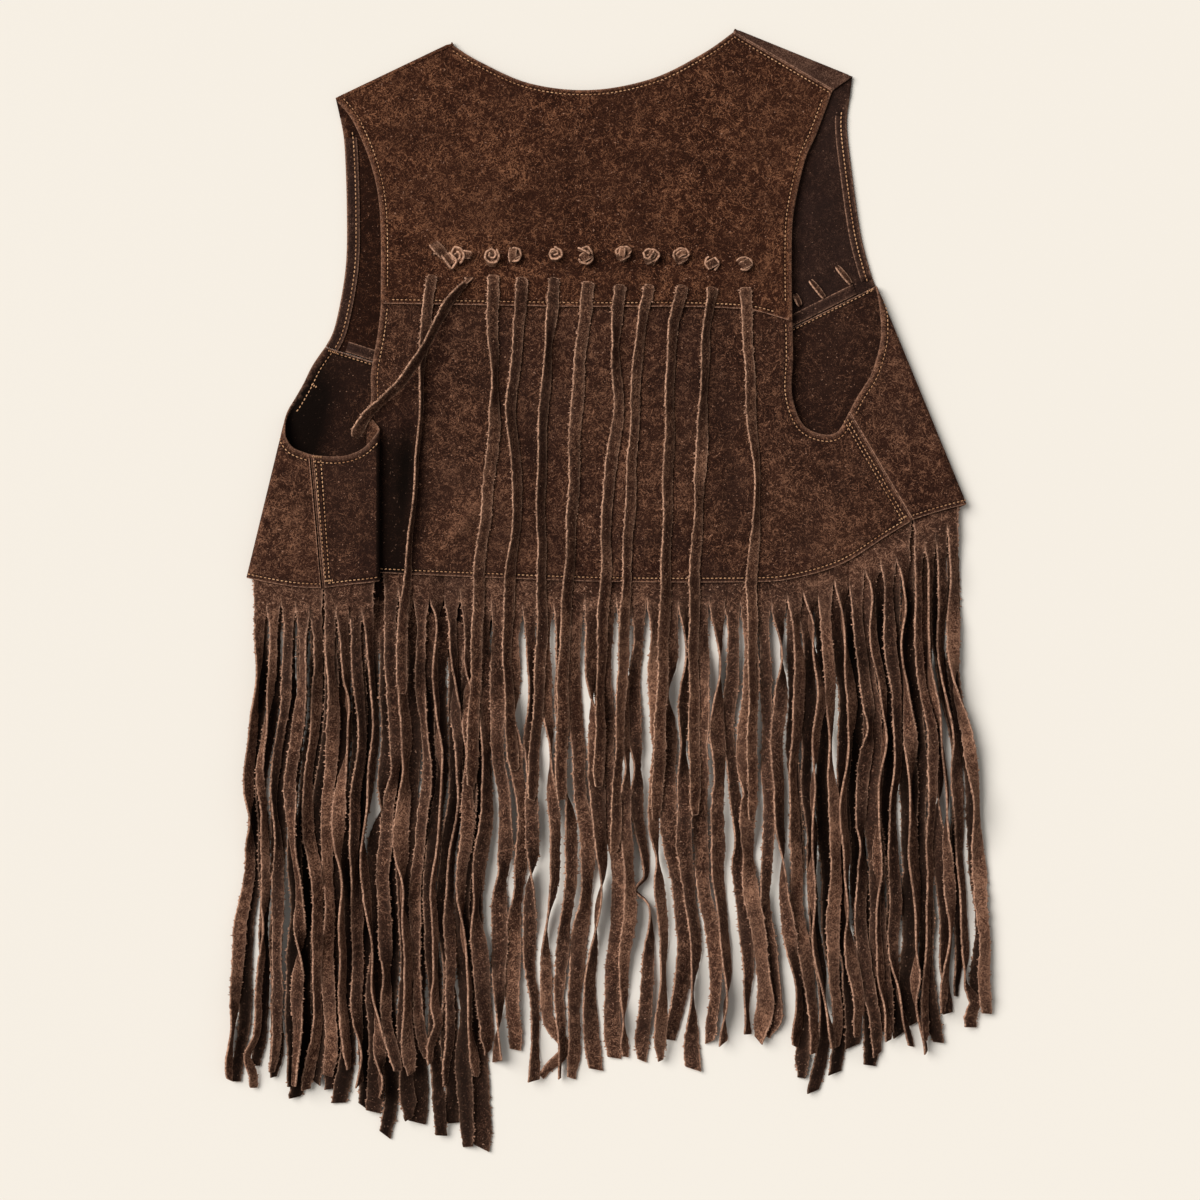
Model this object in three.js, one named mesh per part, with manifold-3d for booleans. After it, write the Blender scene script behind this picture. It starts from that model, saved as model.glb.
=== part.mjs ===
import * as THREE from "three";
import { mergeVertices } from "three/addons/utils/BufferGeometryUtils.js";
import Module from "manifold-3d";

// A suede vest with a fringed hem, in millimetres. It lies on its front with its back up:
// x runs to the wearer's right, y up the back to the neck, z up from the surface it lies on.
// y = 0 is the level where the slits of the back's fringe begin.

const wasm = await Module();
wasm.setup();

// The suede and how close its pieces lie.
const CLOTH = 1.6;
const LAYER_GAP = 0.3;
const SEAM_GAP = 0.3;
const LAP = CLOTH + LAYER_GAP;

// Heights of the middle of the cloth above the surface.
const FRONT_LEVEL = CLOTH / 2;
const BACK_LEVEL = 6;
const HEM_RISE = 0.7;
const HEM_RISE_REACH = 60;
const SHOULDER_REACH = 80;
const SIDE_REACH = 95;

// Seams and strips.
const YOKE_LAP = 7;
const LAP_SLOPE = 26;
const STRIP_TUCK = 6;
const STRIP_DROP = 12;

// Grid steps of the panels.
const BACK_STEP = 20;
const FRONT_COLUMNS = 60;
const FRONT_ROWS = 30;
const YOKE_ROWS = 90;
const ROLL_STEP = 14;
const ARC_STEPS = 5;
const CLOSEST_POINTS = 0.4;

// Strands of the fringe. Stations are the fractions of a strand's length where it has a section.
const STRAND_WIDTH = 8.4;
const STRAND_THICKNESS = 1.4;
const CLEAR = 0.35;
const STATIONS = [0, 0.035, 0.13, 0.26, 0.4, 0.54, 0.68, 0.84, 1];
const PROBE_STEP = 5;
const LIE_SLOPE = 0.3;
const DROP_REACH = 95;

// Thongs, their knots and the slits in the yoke.
const THONG_WIDTH = 7.2;
const THONG_THICKNESS = 1.3;
const THONG_STEP = 19;
const SLIT_LENGTH = 8.4;
const SLIT_WIDTH = 2.5;
const SLIT_BEND = 1.2;
const KNOT_HEIGHT = 4.6;
const KNOT_TURNS = 1.35;
const KNOT_STEPS = 11;

// How far a panel's flat facets may stand above its curved form.
const FACET_SLACK = 0.25;

// The middle of the vest's length and width, where its origin is.
const MIDDLE = { x: -1.4, y: 5.4 };

const smooth = (from, to, value) => THREE.MathUtils.smoothstep(value, from, to);
const mix = THREE.MathUtils.lerp;
const point = (x, y) => new THREE.Vector2(x, y);

// A number from 0 to 1 that is the same each time for the same piece and use.
function chance(piece, use) {
  const wave = Math.sin(piece * 12.9898 + use * 78.233) * 43758.5453;
  return wave - Math.floor(wave);
}

// Points of a smooth curve through the rows of a table.
function curve(rows, steps = rows.length * 2) {
  return new THREE.SplineCurve(rows.map(({ x, y }) => point(x, y))).getPoints(steps);
}

// The height of a curve that runs from left to right, over a place on x.
function heightAt(rows, x) {
  const last = rows.length - 1;
  let i = 0;
  while (i < last - 1 && x > rows[i + 1].x) i += 1;
  const [a, b] = [rows[i], rows[i + 1]];
  const [before, after] = [rows[Math.max(i - 1, 0)], rows[Math.min(i + 2, last)]];
  const span = b.x - a.x;
  const slopeA = (b.y - before.y) / (b.x - before.x);
  const slopeB = (after.y - a.y) / (after.x - a.x);
  const t = (x - a.x) / span;
  const blend = t * t * (3 - 2 * t);
  const ease = t * (1 - t) * ((1 - t) * slopeA - t * slopeB) * span;
  return a.y + (b.y - a.y) * blend + ease;
}

// The seam lines of the shoulders and sides, as they lie on the back.
const shoulderLeft = { from: point(-109.2, 388.5), to: point(-191.1, 349.3) };
const shoulderRight = { from: point(88.9, 397.9), to: point(171.5, 364.4) };
const shoulderSeamLeft = { from: point(-107.9, 385.8), to: point(-189.8, 346.6) };
const shoulderSeamRight = { from: point(87.6, 395), to: point(157.5, 354.2) };
const sideSeamLeft = { from: point(-206.5, 98.6), to: point(-198.1, 5.6) };
const sideSeamRight = { from: point(168.5, 128.5), to: point(212.8, 53.2) };
const yokeSeamLeft = { from: point(-198.1, 175), to: point(-60, 131) };
const yokeSeamRight = { from: point(187.6, 217.4), to: point(60, 154) };

// The back's edges.
const neckline = [
  { x: -107.6, y: 385.3 },
  { x: -89.7, y: 374.4 },
  { x: -54.9, y: 359 },
  { x: -12, y: 354.2 },
  { x: 30.8, y: 362.3 },
  { x: 65.7, y: 379.7 },
  { x: 86.8, y: 394.4 },
];
const yokeArmholeLeft = [
  { x: -158.9, y: 204.4 },
  { x: -159.6, y: 267.4 },
  { x: -165.9, y: 301.7 },
  { x: -178.5, y: 332 },
  { x: -189, y: 345.6 },
];
const yokeArmholeRight = [
  { x: 157.3, y: 353.8 },
  { x: 146, y: 323.4 },
  { x: 137.9, y: 304.7 },
  { x: 130.4, y: 271 },
  { x: 128.6, y: 245.7 },
  { x: 128.8, y: 192.5 },
];
const yokeEdge = [
  { x: -167, y: 204.6 },
  { x: -28, y: 202.3 },
  { x: 95, y: 200.4 },
  { x: 135, y: 190 },
];
const panelArmholeRight = [
  { x: 128.8, y: 198 },
  { x: 129.5, y: 166.9 },
  { x: 128.7, y: 142 },
  { x: 135.5, y: 121.4 },
  { x: 148, y: 113.6 },
  { x: 160.3, y: 114.8 },
  { x: 168.5, y: 128.5 },
];
const backHem = [
  { x: -170, y: 16.6 },
  { x: -96.6, y: 13.3 },
  { x: 0, y: 9.9 },
  { x: 105, y: 9.8 },
  { x: 128.1, y: 11.9 },
  { x: 163.8, y: 22.4 },
  { x: 196, y: 42.6 },
  { x: 214, y: 53.4 },
];

// The back's cloth beside the left armhole turns under itself in a pleat: it turns up at the
// valley, runs back to the ridge, and goes on over the ridge to the side seam.
const pleat = { valleyX: -167, valleyRadius: 1.2, ridgeX: -162, ridgeRadius: 1.9 };
const pleatRun = pleat.ridgeX - pleat.valleyX;
const valleyStart = -pleat.valleyX;
const valleyEnd = valleyStart + Math.PI * pleat.valleyRadius;
const ridgeStart = valleyEnd + pleatRun;
const ridgeEnd = ridgeStart + Math.PI * pleat.ridgeRadius;
const pleatRise = 2 * (pleat.valleyRadius + pleat.ridgeRadius);
const overPleat = (x) => ridgeEnd + pleat.ridgeX - x;

const panelArmholeLeft = [
  { x: 158.6, y: 207 },
  { x: 161, y: 184.8 },
  { x: 165.9, y: 156.1 },
  { x: 166.6, y: 134 },
  { x: ridgeEnd - 3, y: 117 },
  { x: overPleat(-171.5), y: 102.9 },
  { x: overPleat(-187), y: 97.6 },
  { x: overPleat(-206.5), y: 98.6 },
];
const sideHemBack = [
  { x: overPleat(-198.1), y: 5.6 },
  { x: overPleat(-182), y: 7.7 },
  { x: ridgeEnd - 3, y: 10.5 },
  { x: valleyStart, y: 16.5 },
];

// The fronts roll round to the back at each side and shoulder. The outer edge of the roll runs
// from one point to the other, and radius is that of the cloth's middle.
const LEFT_SIDE = {
  from: point(-226.8, 122.5),
  to: point(-252.8, 14.7),
  outward: -1,
  radius: 4.2,
};
const RIGHT_SIDE = {
  from: point(188.3, 217.7),
  to: point(251.3, 64.4),
  outward: 1,
  radius: 3.2,
};
const SHOULDER_RADIUS = 0.975;
const LEFT_SHOULDER = { ...shoulderLeft, outward: -1, radius: SHOULDER_RADIUS };
const RIGHT_SHOULDER = { ...shoulderRight, outward: 1, radius: SHOULDER_RADIUS };
const SHOULDER_LEVEL = FRONT_LEVEL + 2 * SHOULDER_RADIUS;
const SIDE_LEVEL_LEFT = FRONT_LEVEL + 2 * LEFT_SIDE.radius;
const SIDE_LEVEL_RIGHT = FRONT_LEVEL + 2 * RIGHT_SIDE.radius;

// The fronts' edges. The left armhole passes over the roll: its rows marked top lie on the
// upper side of the roll, and the right armhole's rows all do.
const frontArmholeLeft = [
  { x: -206.8, y: 98.6, top: true },
  { x: -219.8, y: 103.6, top: true },
  { x: -225.5, y: 111.6, top: true },
  { x: -223.4, y: 133, top: false },
  { x: -214.5, y: 147.3, top: false },
  { x: -207.3, y: 161.7, top: false },
  { x: -198.1, y: 175, top: false },
];
const frontArmholeRight = [
  { x: 168.9, y: 128.9 },
  { x: 174.8, y: 140.1 },
  { x: 183.7, y: 154.4 },
  { x: 189, y: 170.5 },
  { x: 191.1, y: 184.8 },
  { x: 189.7, y: 203.7 },
  { x: 188.3, y: 217.7 },
];
const frontYokeArmholeLeft = [
  { x: -198.1, y: 175 },
  { x: -191.2, y: 190.4 },
  { x: -184.1, y: 229.6 },
  { x: -183.2, y: 270 },
  { x: -184.8, y: 315.7 },
  { x: -187.6, y: 334.2 },
];
const frontYokeArmholeRight = [
  { x: 187.6, y: 217.4 },
  { x: 183.4, y: 229.6 },
  { x: 176.8, y: 256.5 },
  { x: 170.1, y: 304.7 },
  { x: 167.6, y: 331 },
  { x: 169.3, y: 347.6 },
];
const frontNeckLeft = [
  { x: -109.4, y: 384.2 },
  { x: -84, y: 322 },
  { x: -66, y: 230 },
  { x: -60, y: 131 },
];
const frontNeckRight = [
  { x: 88.6, y: 393.4 },
  { x: 76, y: 330 },
  { x: 64, y: 250 },
  { x: 60, y: 154 },
];
const frontHemLeft = [
  { x: -258, y: 14.5 },
  { x: -225, y: 8 },
  { x: -150, y: -11 },
  { x: -83, y: -31 },
];
const frontHemRight = [
  { x: 124, y: 0 },
  { x: 175, y: 25 },
  { x: 225, y: 51.5 },
  { x: 258, y: 67.5 },
];
const sideHem = [
  { x: -252.7, y: 12.6 },
  { x: -235.9, y: 9.1 },
  { x: -217.7, y: 6.3 },
  { x: -198.4, y: 5.6 },
  { x: -182, y: 7.7 },
  { x: -159.6, y: 10.5 },
];
const sideHemRight = [
  { x: 213.1, y: 53.3 },
  { x: 230.3, y: 58.8 },
  { x: 251.3, y: 64.4 },
];

// Soft swells and hollows of the back, each an oval turned by angle degrees.
const billows = [
  { x: -95, y: 58, along: 62, across: 22, angle: 46, height: 2.4 },
  { x: -20, y: 120, along: 90, across: 34, angle: 84, height: 1.4 },
  { x: 52, y: 96, along: 95, across: 40, angle: 100, height: 2 },
  { x: 108, y: 70, along: 70, across: 36, angle: 60, height: 1.8 },
  { x: -128, y: 150, along: 60, across: 26, angle: 95, height: 1.1 },
  { x: -70, y: 285, along: 95, across: 50, angle: 30, height: 1.3 },
  { x: 48, y: 300, along: 100, across: 48, angle: 150, height: 1.6 },
  { x: 100, y: 240, along: 60, across: 34, angle: 80, height: 0.9 },
];

// How far inside a seam line a place lies.
function inside(line, x, y) {
  const run = line.to.clone().sub(line.from).normalize();
  return Math.abs((x - line.from.x) * run.y - (y - line.from.y) * run.x);
}

// The height of the middle of the back's cloth.
function backLevel(x, y) {
  let level = BACK_LEVEL;
  for (const { x: cx, y: cy, along, across, angle, height } of billows) {
    const turn = THREE.MathUtils.degToRad(angle);
    const u = ((x - cx) * Math.cos(turn) + (y - cy) * Math.sin(turn)) / along;
    const v = ((y - cy) * Math.cos(turn) - (x - cx) * Math.sin(turn)) / across;
    level += height * Math.max(0, 1 - u * u - v * v) ** 2;
  }
  const aboveHem = y - heightAt(backHem, THREE.MathUtils.clamp(x, -170, 214));
  level += HEM_RISE * (1 - smooth(0, HEM_RISE_REACH, aboveHem));
  if (x > 0 && y < 250) {
    const near = 1 - smooth(0, SIDE_REACH, inside(sideSeamRight, x, y));
    level = mix(level, SIDE_LEVEL_RIGHT, near);
  }
  const fromShoulder = Math.min(
    inside(shoulderSeamLeft, x, y),
    inside(shoulderSeamRight, x, y),
  );
  return mix(SHOULDER_LEVEL, level, smooth(0, SHOULDER_REACH, fromShoulder));
}

// The yoke lies over the top edge of the back panel.
function yokeLevel(x, y) {
  const lapTop = heightAt(yokeEdge, x) + YOKE_LAP + 2;
  return backLevel(x, y) + LAP * (1 - smooth(lapTop, lapTop + LAP_SLOPE, y));
}

// A fold gives the pattern of a rolled piece: a is the distance along the roll from its first
// point, n the distance across it, below zero on the surface and beyond the arc on top.
function makeFold({ from, to, outward, radius }) {
  const along = to.clone().sub(from).normalize();
  const out = point(-along.y, along.x);
  if (Math.sign(out.x) !== Math.sign(outward)) out.negate();
  const arc = Math.PI * radius;
  const reach = radius + CLOTH / 2;

  function pattern({ x, y, top = false }) {
    const offset = point(x, y).sub(from);
    const beyond = offset.dot(out) + reach;
    const turned = radius * Math.asin(THREE.MathUtils.clamp(beyond / reach, 0, 1));
    const low = beyond <= 0 ? beyond : turned;
    return point(top ? arc - low : low, offset.dot(along));
  }

  // The place of a pattern point, side being the distance towards the cloth's outer face.
  function place(n, a, side, lift) {
    const turn = THREE.MathUtils.clamp(n / radius, 0, Math.PI);
    const past = n > arc ? n - arc : 0;
    const across = n <= 0 ? n : (radius + side) * Math.sin(turn) - past;
    const z = FRONT_LEVEL + radius - (radius + side) * Math.cos(turn);
    const spot = from.clone().addScaledVector(along, a);
    spot.addScaledVector(out, across - reach);
    const rise = past > 0 ? lift(spot.x, spot.y) * smooth(2, 26, past) : 0;
    return new THREE.Vector3(spot.x, spot.y, z + rise);
  }

  return { pattern, place, arc };
}

const leftSide = makeFold(LEFT_SIDE);
const rightSide = makeFold(RIGHT_SIDE);
const leftShoulder = makeFold(LEFT_SHOULDER);
const rightShoulder = makeFold(RIGHT_SHOULDER);

// A closed solid from its corners and triangles.
function solid(vertices, triangles) {
  const vertProperties = new Float32Array(vertices.flat());
  const triVerts = new Uint32Array(triangles.flat());
  return new wasm.Manifold(new wasm.Mesh({ numProp: 3, vertProperties, triVerts }));
}

// An upright block over an outline, much taller than the cloth is thick.
function block(outline) {
  const depth = 120;
  const apart = outline.filter((p, i) => p.distanceTo(outline.at(i - 1)) > CLOSEST_POINTS);
  const geometry = new THREE.ExtrudeGeometry(new THREE.Shape(apart), {
    depth,
    bevelEnabled: false,
  });
  geometry.translate(0, 0, -depth / 2);
  geometry.deleteAttribute("normal");
  geometry.deleteAttribute("uv");
  const merged = mergeVertices(geometry, 1e-4);
  return new wasm.Manifold(
    new wasm.Mesh({
      numProp: 3,
      vertProperties: new Float32Array(merged.attributes.position.array),
      triVerts: new Uint32Array(merged.index.array),
    }),
  );
}

// The uncut cloth is very slightly domed, so that each grid square keeps its corners when the
// outline is cut. The dome is taken out again when the piece is placed.
const DOME = 1e-4;
const dome = (u, v) => DOME * (u * u + v * v);

// Cloth over a grid of columns and rows.
function clothGrid(columns, rows) {
  const vertices = [];
  const triangles = [];
  const width = rows.length;
  const count = columns.length * width;
  for (const side of [-CLOTH / 2, CLOTH / 2])
    for (const u of columns) for (const v of rows) vertices.push([u, v, side + dome(u, v)]);
  const quad = (a, b, c, d) => triangles.push([a, b, c], [a, c, d]);
  for (let i = 0; i + 1 < columns.length; i += 1)
    for (let j = 0; j + 1 < width; j += 1) {
      const k = i * width + j;
      quad(k, k + 1, k + width + 1, k + width);
      quad(count + k, count + k + width, count + k + width + 1, count + k + 1);
    }
  for (let i = 0; i + 1 < columns.length; i += 1) {
    const low = i * width;
    const high = low + width - 1;
    quad(low, low + width, count + low + width, count + low);
    quad(high, count + high, count + high + width, high + width);
  }
  for (let j = 0; j + 1 < width; j += 1) {
    const far = count - width + j;
    quad(j, count + j, count + j + 1, j + 1);
    quad(far, far + 1, count + far + 1, count + far);
  }
  return solid(vertices, triangles);
}

// Evenly stepped grid lines over the stretches between the given stops.
function gridLines(stops, step) {
  const lines = [stops[0]];
  for (let i = 0; i + 1 < stops.length; i += 1) {
    const span = stops[i + 1] - stops[i];
    const parts = Math.max(1, Math.round(span / step));
    for (let k = 1; k <= parts; k += 1) lines.push(stops[i] + (span * k) / parts);
  }
  return lines;
}

// Grid lines across an arc, close enough for its turn.
const arcLines = (from, to) =>
  Array.from({ length: ARC_STEPS + 1 }, (_, k) => mix(from, to, k / ARC_STEPS));

// Cuts a piece of cloth to its outline and puts each of its points in its place.
function cutCloth(outline, columns, rows, place, slits = []) {
  let cut = clothGrid(columns, rows).intersect(block(outline));
  for (const slit of slits) cut = cut.subtract(block(slit));
  const { vertProperties, triVerts } = cut.getMesh();
  const positions = new Float32Array(vertProperties.length);
  for (let i = 0; i < vertProperties.length; i += 3) {
    const [u, v, w] = vertProperties.slice(i, i + 3);
    const side = (Math.sign(w - dome(u, v)) * CLOTH) / 2;
    const spot = place(u, v, side);
    positions.set([spot.x, spot.y, spot.z], i);
  }
  const made = new wasm.Mesh({ numProp: 3, vertProperties: positions, triVerts });
  const placed = new wasm.Manifold(made);
  if (placed.volume() > 0) return placed;
  for (let i = 0; i < triVerts.length; i += 3)
    [triVerts[i + 1], triVerts[i + 2]] = [triVerts[i + 2], triVerts[i + 1]];
  return new wasm.Manifold(new wasm.Mesh({ numProp: 3, vertProperties: positions, triVerts }));
}

// The ends of a line moved sideways by a distance, towards the given direction.
function beside(line, distance, away) {
  const run = line.to.clone().sub(line.from).normalize();
  const normal = point(-run.y, run.x);
  if (normal.dot(away) < 0) normal.negate();
  return [line.from, line.to].map((end) => end.clone().addScaledVector(normal, distance));
}

const UP = point(0, 1);
const DOWN = point(0, -1);
const OUT_LEFT = point(-1, 0);
const OUT_RIGHT = point(1, 0);

// Part of a table's curve between two places on x, as points.
function hemPoints(rows, from, to, steps) {
  return Array.from({ length: steps + 1 }, (_, k) => {
    const x = mix(from, to, k / steps);
    return point(x, heightAt(rows, x));
  });
}

const outlineRange = (outline, axis) => {
  const values = outline.map((p) => p[axis]);
  return [Math.min(...values) - 1, Math.max(...values) + 1];
};

// The thongs of the back yoke: where each is knotted, where it comes out again, its place on x
// at some heights on the way down, and its end. Below a free end it lies on the fringe.
const ROUTE_HEIGHTS = [180, 130, 70, 20, -40];
const thongs = [
  { knotX: -119, knotY: 239.4, exitX: -123.2, exitY: 222.3, endX: -142.8, endY: -67.9,
    route: [-128.6, -130.8, -135.3, -139.8, -144.2] },
  { knotX: -105.7, knotY: 236.6, exitX: -97.3, exitY: 222.3, endX: -177.1, endY: 111.3,
    route: [] },
  { knotX: -81.2, knotY: 235.9, exitX: -80.1, exitY: 222.3, endX: -95.9, endY: -133,
    route: [-80.4, -79.1, -84.1, -89.7, -91.8] },
  { knotX: -65.1, knotY: 238.4, exitX: -60.2, exitY: 220.5, endX: -65.8, endY: -121.8,
    route: [-62.9, -67.9, -63.2, -67.8, -70.6] },
  { knotX: -37.1, knotY: 238.4, exitX: -37.8, exitY: 220.5, endX: -53.9, endY: -142.1,
    route: [-41, -45.1, -46.9, -46.5, -46.8] },
  { knotX: -15.4, knotY: 237.3, exitX: -14, exitY: 217.7, endX: -32.9, endY: -142.1,
    route: [-18.1, -22.1, -24.4, -27, -30.7] },
  { knotX: 10.5, knotY: 238, exitX: 8.4, exitY: 215.6, endX: -6.3, endY: -133,
    route: [4.9, 7.1, -0.5, -1.5, -4.6] },
  { knotX: 29.4, knotY: 235.9, exitX: 28.7, exitY: 215.6, endX: 4.2, endY: -178.5,
    route: [21.9, 18.7, 15.6, 13.1, 10.7] },
  { knotX: 51.1, knotY: 235.9, exitX: 51.8, exitY: 214.9, endX: 33.6, endY: -155.4,
    route: [44.6, 43.2, 41.6, 40.5, 38.6] },
  { knotX: 72.8, knotY: 232.4, exitX: 72.8, exitY: 213.5, endX: 60.9, endY: -152.6,
    route: [68.3, 66.3, 63.7, 60.8, 59.8] },
  { knotX: 95.9, knotY: 231.7, exitX: 95.9, exitY: 213.5, endX: 100.8, endY: -155.4,
    route: [98, 100, 104.2, 100.8, 100.8] },
];

// The opening that a thong goes through.
function slitAt(x, y) {
  const [u, v] = [SLIT_LENGTH / 2, SLIT_WIDTH / 2];
  return [point(x - u, y - v), point(x + u, y - v), point(x + u, y + v), point(x - u, y + v)];
}

function makeBackYoke() {
  const outline = [
    ...curve(neckline, 18),
    ...beside(shoulderSeamRight, 0, UP),
    ...curve(yokeArmholeRight, 14),
    ...hemPoints(yokeEdge, 126, -156, 16),
    ...curve(yokeArmholeLeft, 14),
    ...beside(shoulderSeamLeft, 0, UP).reverse(),
  ];
  const columns = gridLines(outlineRange(outline, "x"), BACK_STEP);
  const rows = gridLines(outlineRange(outline, "y"), BACK_STEP);
  const slits = thongs.flatMap(({ knotX, knotY, exitX, exitY }) => [
    slitAt(knotX, knotY),
    slitAt(exitX, exitY),
  ]);
  const place = (x, y, side) => new THREE.Vector3(x, y, yokeLevel(x, y) + side);
  return cutCloth(outline, columns, rows, place, slits);
}

// The back panel's pattern runs from its right edge at x = -s to the left, through the pleat.
function placeBackPanel(s, y, side) {
  const { valleyX, valleyRadius, ridgeX, ridgeRadius } = pleat;
  const upper = BACK_LEVEL + 2 * valleyRadius;
  let x = -s;
  let z = BACK_LEVEL + side;
  if (s > valleyStart) {
    const turn = Math.min((s - valleyStart) / valleyRadius, Math.PI);
    x = valleyX - (valleyRadius - side) * Math.sin(turn);
    z = BACK_LEVEL + valleyRadius - (valleyRadius - side) * Math.cos(turn);
  }
  if (s > valleyEnd) x = valleyX + (s - valleyEnd);
  if (s > ridgeStart) {
    const turn = Math.min((s - ridgeStart) / ridgeRadius, Math.PI);
    x = ridgeX + (ridgeRadius + side) * Math.sin(turn);
    z = upper + ridgeRadius - (ridgeRadius + side) * Math.cos(turn);
  }
  if (s > ridgeEnd) {
    const fall = SIDE_LEVEL_LEFT - BACK_LEVEL - pleatRise;
    x = ridgeX - (s - ridgeEnd);
    z += fall * smooth(4, 40, s - ridgeEnd);
  }
  return new THREE.Vector3(x, y, z + backLevel(x, y) - BACK_LEVEL);
}

function makeBackPanel() {
  const lapEdge = hemPoints(yokeEdge, 128, -158, 12).map((p) => p.add(point(0, YOKE_LAP)));
  const flip = ({ x, y }) => point(-x, y);
  const outline = [
    ...curve(panelArmholeLeft, 18),
    ...curve(sideHemBack, 6),
    ...hemPoints(backHem, -158, 211, 22).map(flip),
    flip(sideSeamRight.to),
    ...curve([...panelArmholeRight].reverse(), 14).map(flip),
    ...lapEdge.map(flip),
  ];
  const [first, last] = outlineRange(outline, "x");
  const columns = [
    ...gridLines([first, valleyStart], BACK_STEP).slice(0, -1),
    ...arcLines(valleyStart, valleyEnd),
    ...arcLines(ridgeStart, ridgeEnd),
    ...gridLines([ridgeEnd, last], ROLL_STEP).slice(1),
  ];
  const rows = gridLines(outlineRange(outline, "y"), BACK_STEP);
  return cutCloth(outline, columns, rows, placeBackPanel);
}

// How much higher the top of each side lies than its roll makes it.
const liftLeft = (x, y) => backLevel(x, y) - BACK_LEVEL;
const liftRight = (x, y) => backLevel(x, y) - SIDE_LEVEL_RIGHT;

// A front piece, cut in the pattern of its fold.
function makeFront(fold, edge, rowStep, lift) {
  const outline = edge.map(fold.pattern);
  const [lowest, highest] = outlineRange(outline, "x");
  const columns = [
    ...gridLines([lowest, 0], FRONT_COLUMNS).slice(0, -1),
    ...arcLines(0, fold.arc),
    ...gridLines([fold.arc, highest], ROLL_STEP).slice(1),
  ];
  const rows = gridLines(outlineRange(outline, "y"), rowStep);
  return cutCloth(outline, columns, rows, (n, a, side) => fold.place(n, a, side, lift));
}

// Rows of a table as a smooth edge that keeps which side of the roll it is on.
function rolledEdge(rows, steps = 3) {
  const onTop = rows.filter((row) => row.top);
  const below = rows.filter((row) => !row.top);
  const smoothed = (part) =>
    part.length > 1
      ? curve(part, part.length * steps).map(({ x, y }) => ({ x, y, top: part[0].top }))
      : part;
  return [...smoothed(onTop), ...smoothed(below)];
}

const onTop = (points) => points.map(({ x, y }) => ({ x, y, top: true }));

function makeFrontPanelLeft() {
  const edge = [
    ...rolledEdge(frontArmholeLeft, 2),
    ...beside(yokeSeamLeft, SEAM_GAP, DOWN),
    point(-83, -31),
    ...hemPoints(frontHemLeft, -90, -252.8, 8),
    ...onTop(hemPoints(sideHem, -252.7, -198.4, 5)),
    ...onTop(beside(sideSeamLeft, SEAM_GAP, OUT_LEFT).reverse()),
  ];
  return makeFront(leftSide, edge, FRONT_ROWS, liftLeft);
}

function makeFrontPanelRight() {
  const edge = [
    ...onTop(curve(frontArmholeRight, 12)),
    ...beside(yokeSeamRight, SEAM_GAP, DOWN),
    point(124, 0),
    ...hemPoints(frontHemRight, 130, 251, 7),
    ...onTop(curve([...sideHemRight].reverse(), 4)),
    ...onTop(beside(sideSeamRight, SEAM_GAP, OUT_RIGHT).reverse()),
  ];
  return makeFront(rightSide, edge, FRONT_ROWS, liftRight);
}

function makeFrontYokeLeft() {
  const edge = [
    ...curve(frontYokeArmholeLeft, 12),
    shoulderLeft.to,
    ...onTop(beside(shoulderSeamLeft, SEAM_GAP, UP).reverse()),
    shoulderLeft.from,
    ...curve(frontNeckLeft, 8),
  ];
  return makeFront(leftShoulder, edge, YOKE_ROWS, () => 0);
}

function makeFrontYokeRight() {
  const edge = [
    ...curve(frontYokeArmholeRight, 12),
    shoulderRight.to,
    ...onTop(beside(shoulderSeamRight, SEAM_GAP, UP).reverse()),
    shoulderRight.from,
    ...curve(frontNeckRight, 8),
  ];
  return makeFront(rightShoulder, edge, YOKE_ROWS, () => 0);
}

// The middle of the cloth on the upper side of a roll.
function rolledLevel(fold, lift, x, y) {
  const flat = fold.pattern({ x, y, top: true });
  return fold.place(flat.x, flat.y, 0, lift).z;
}

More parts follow.
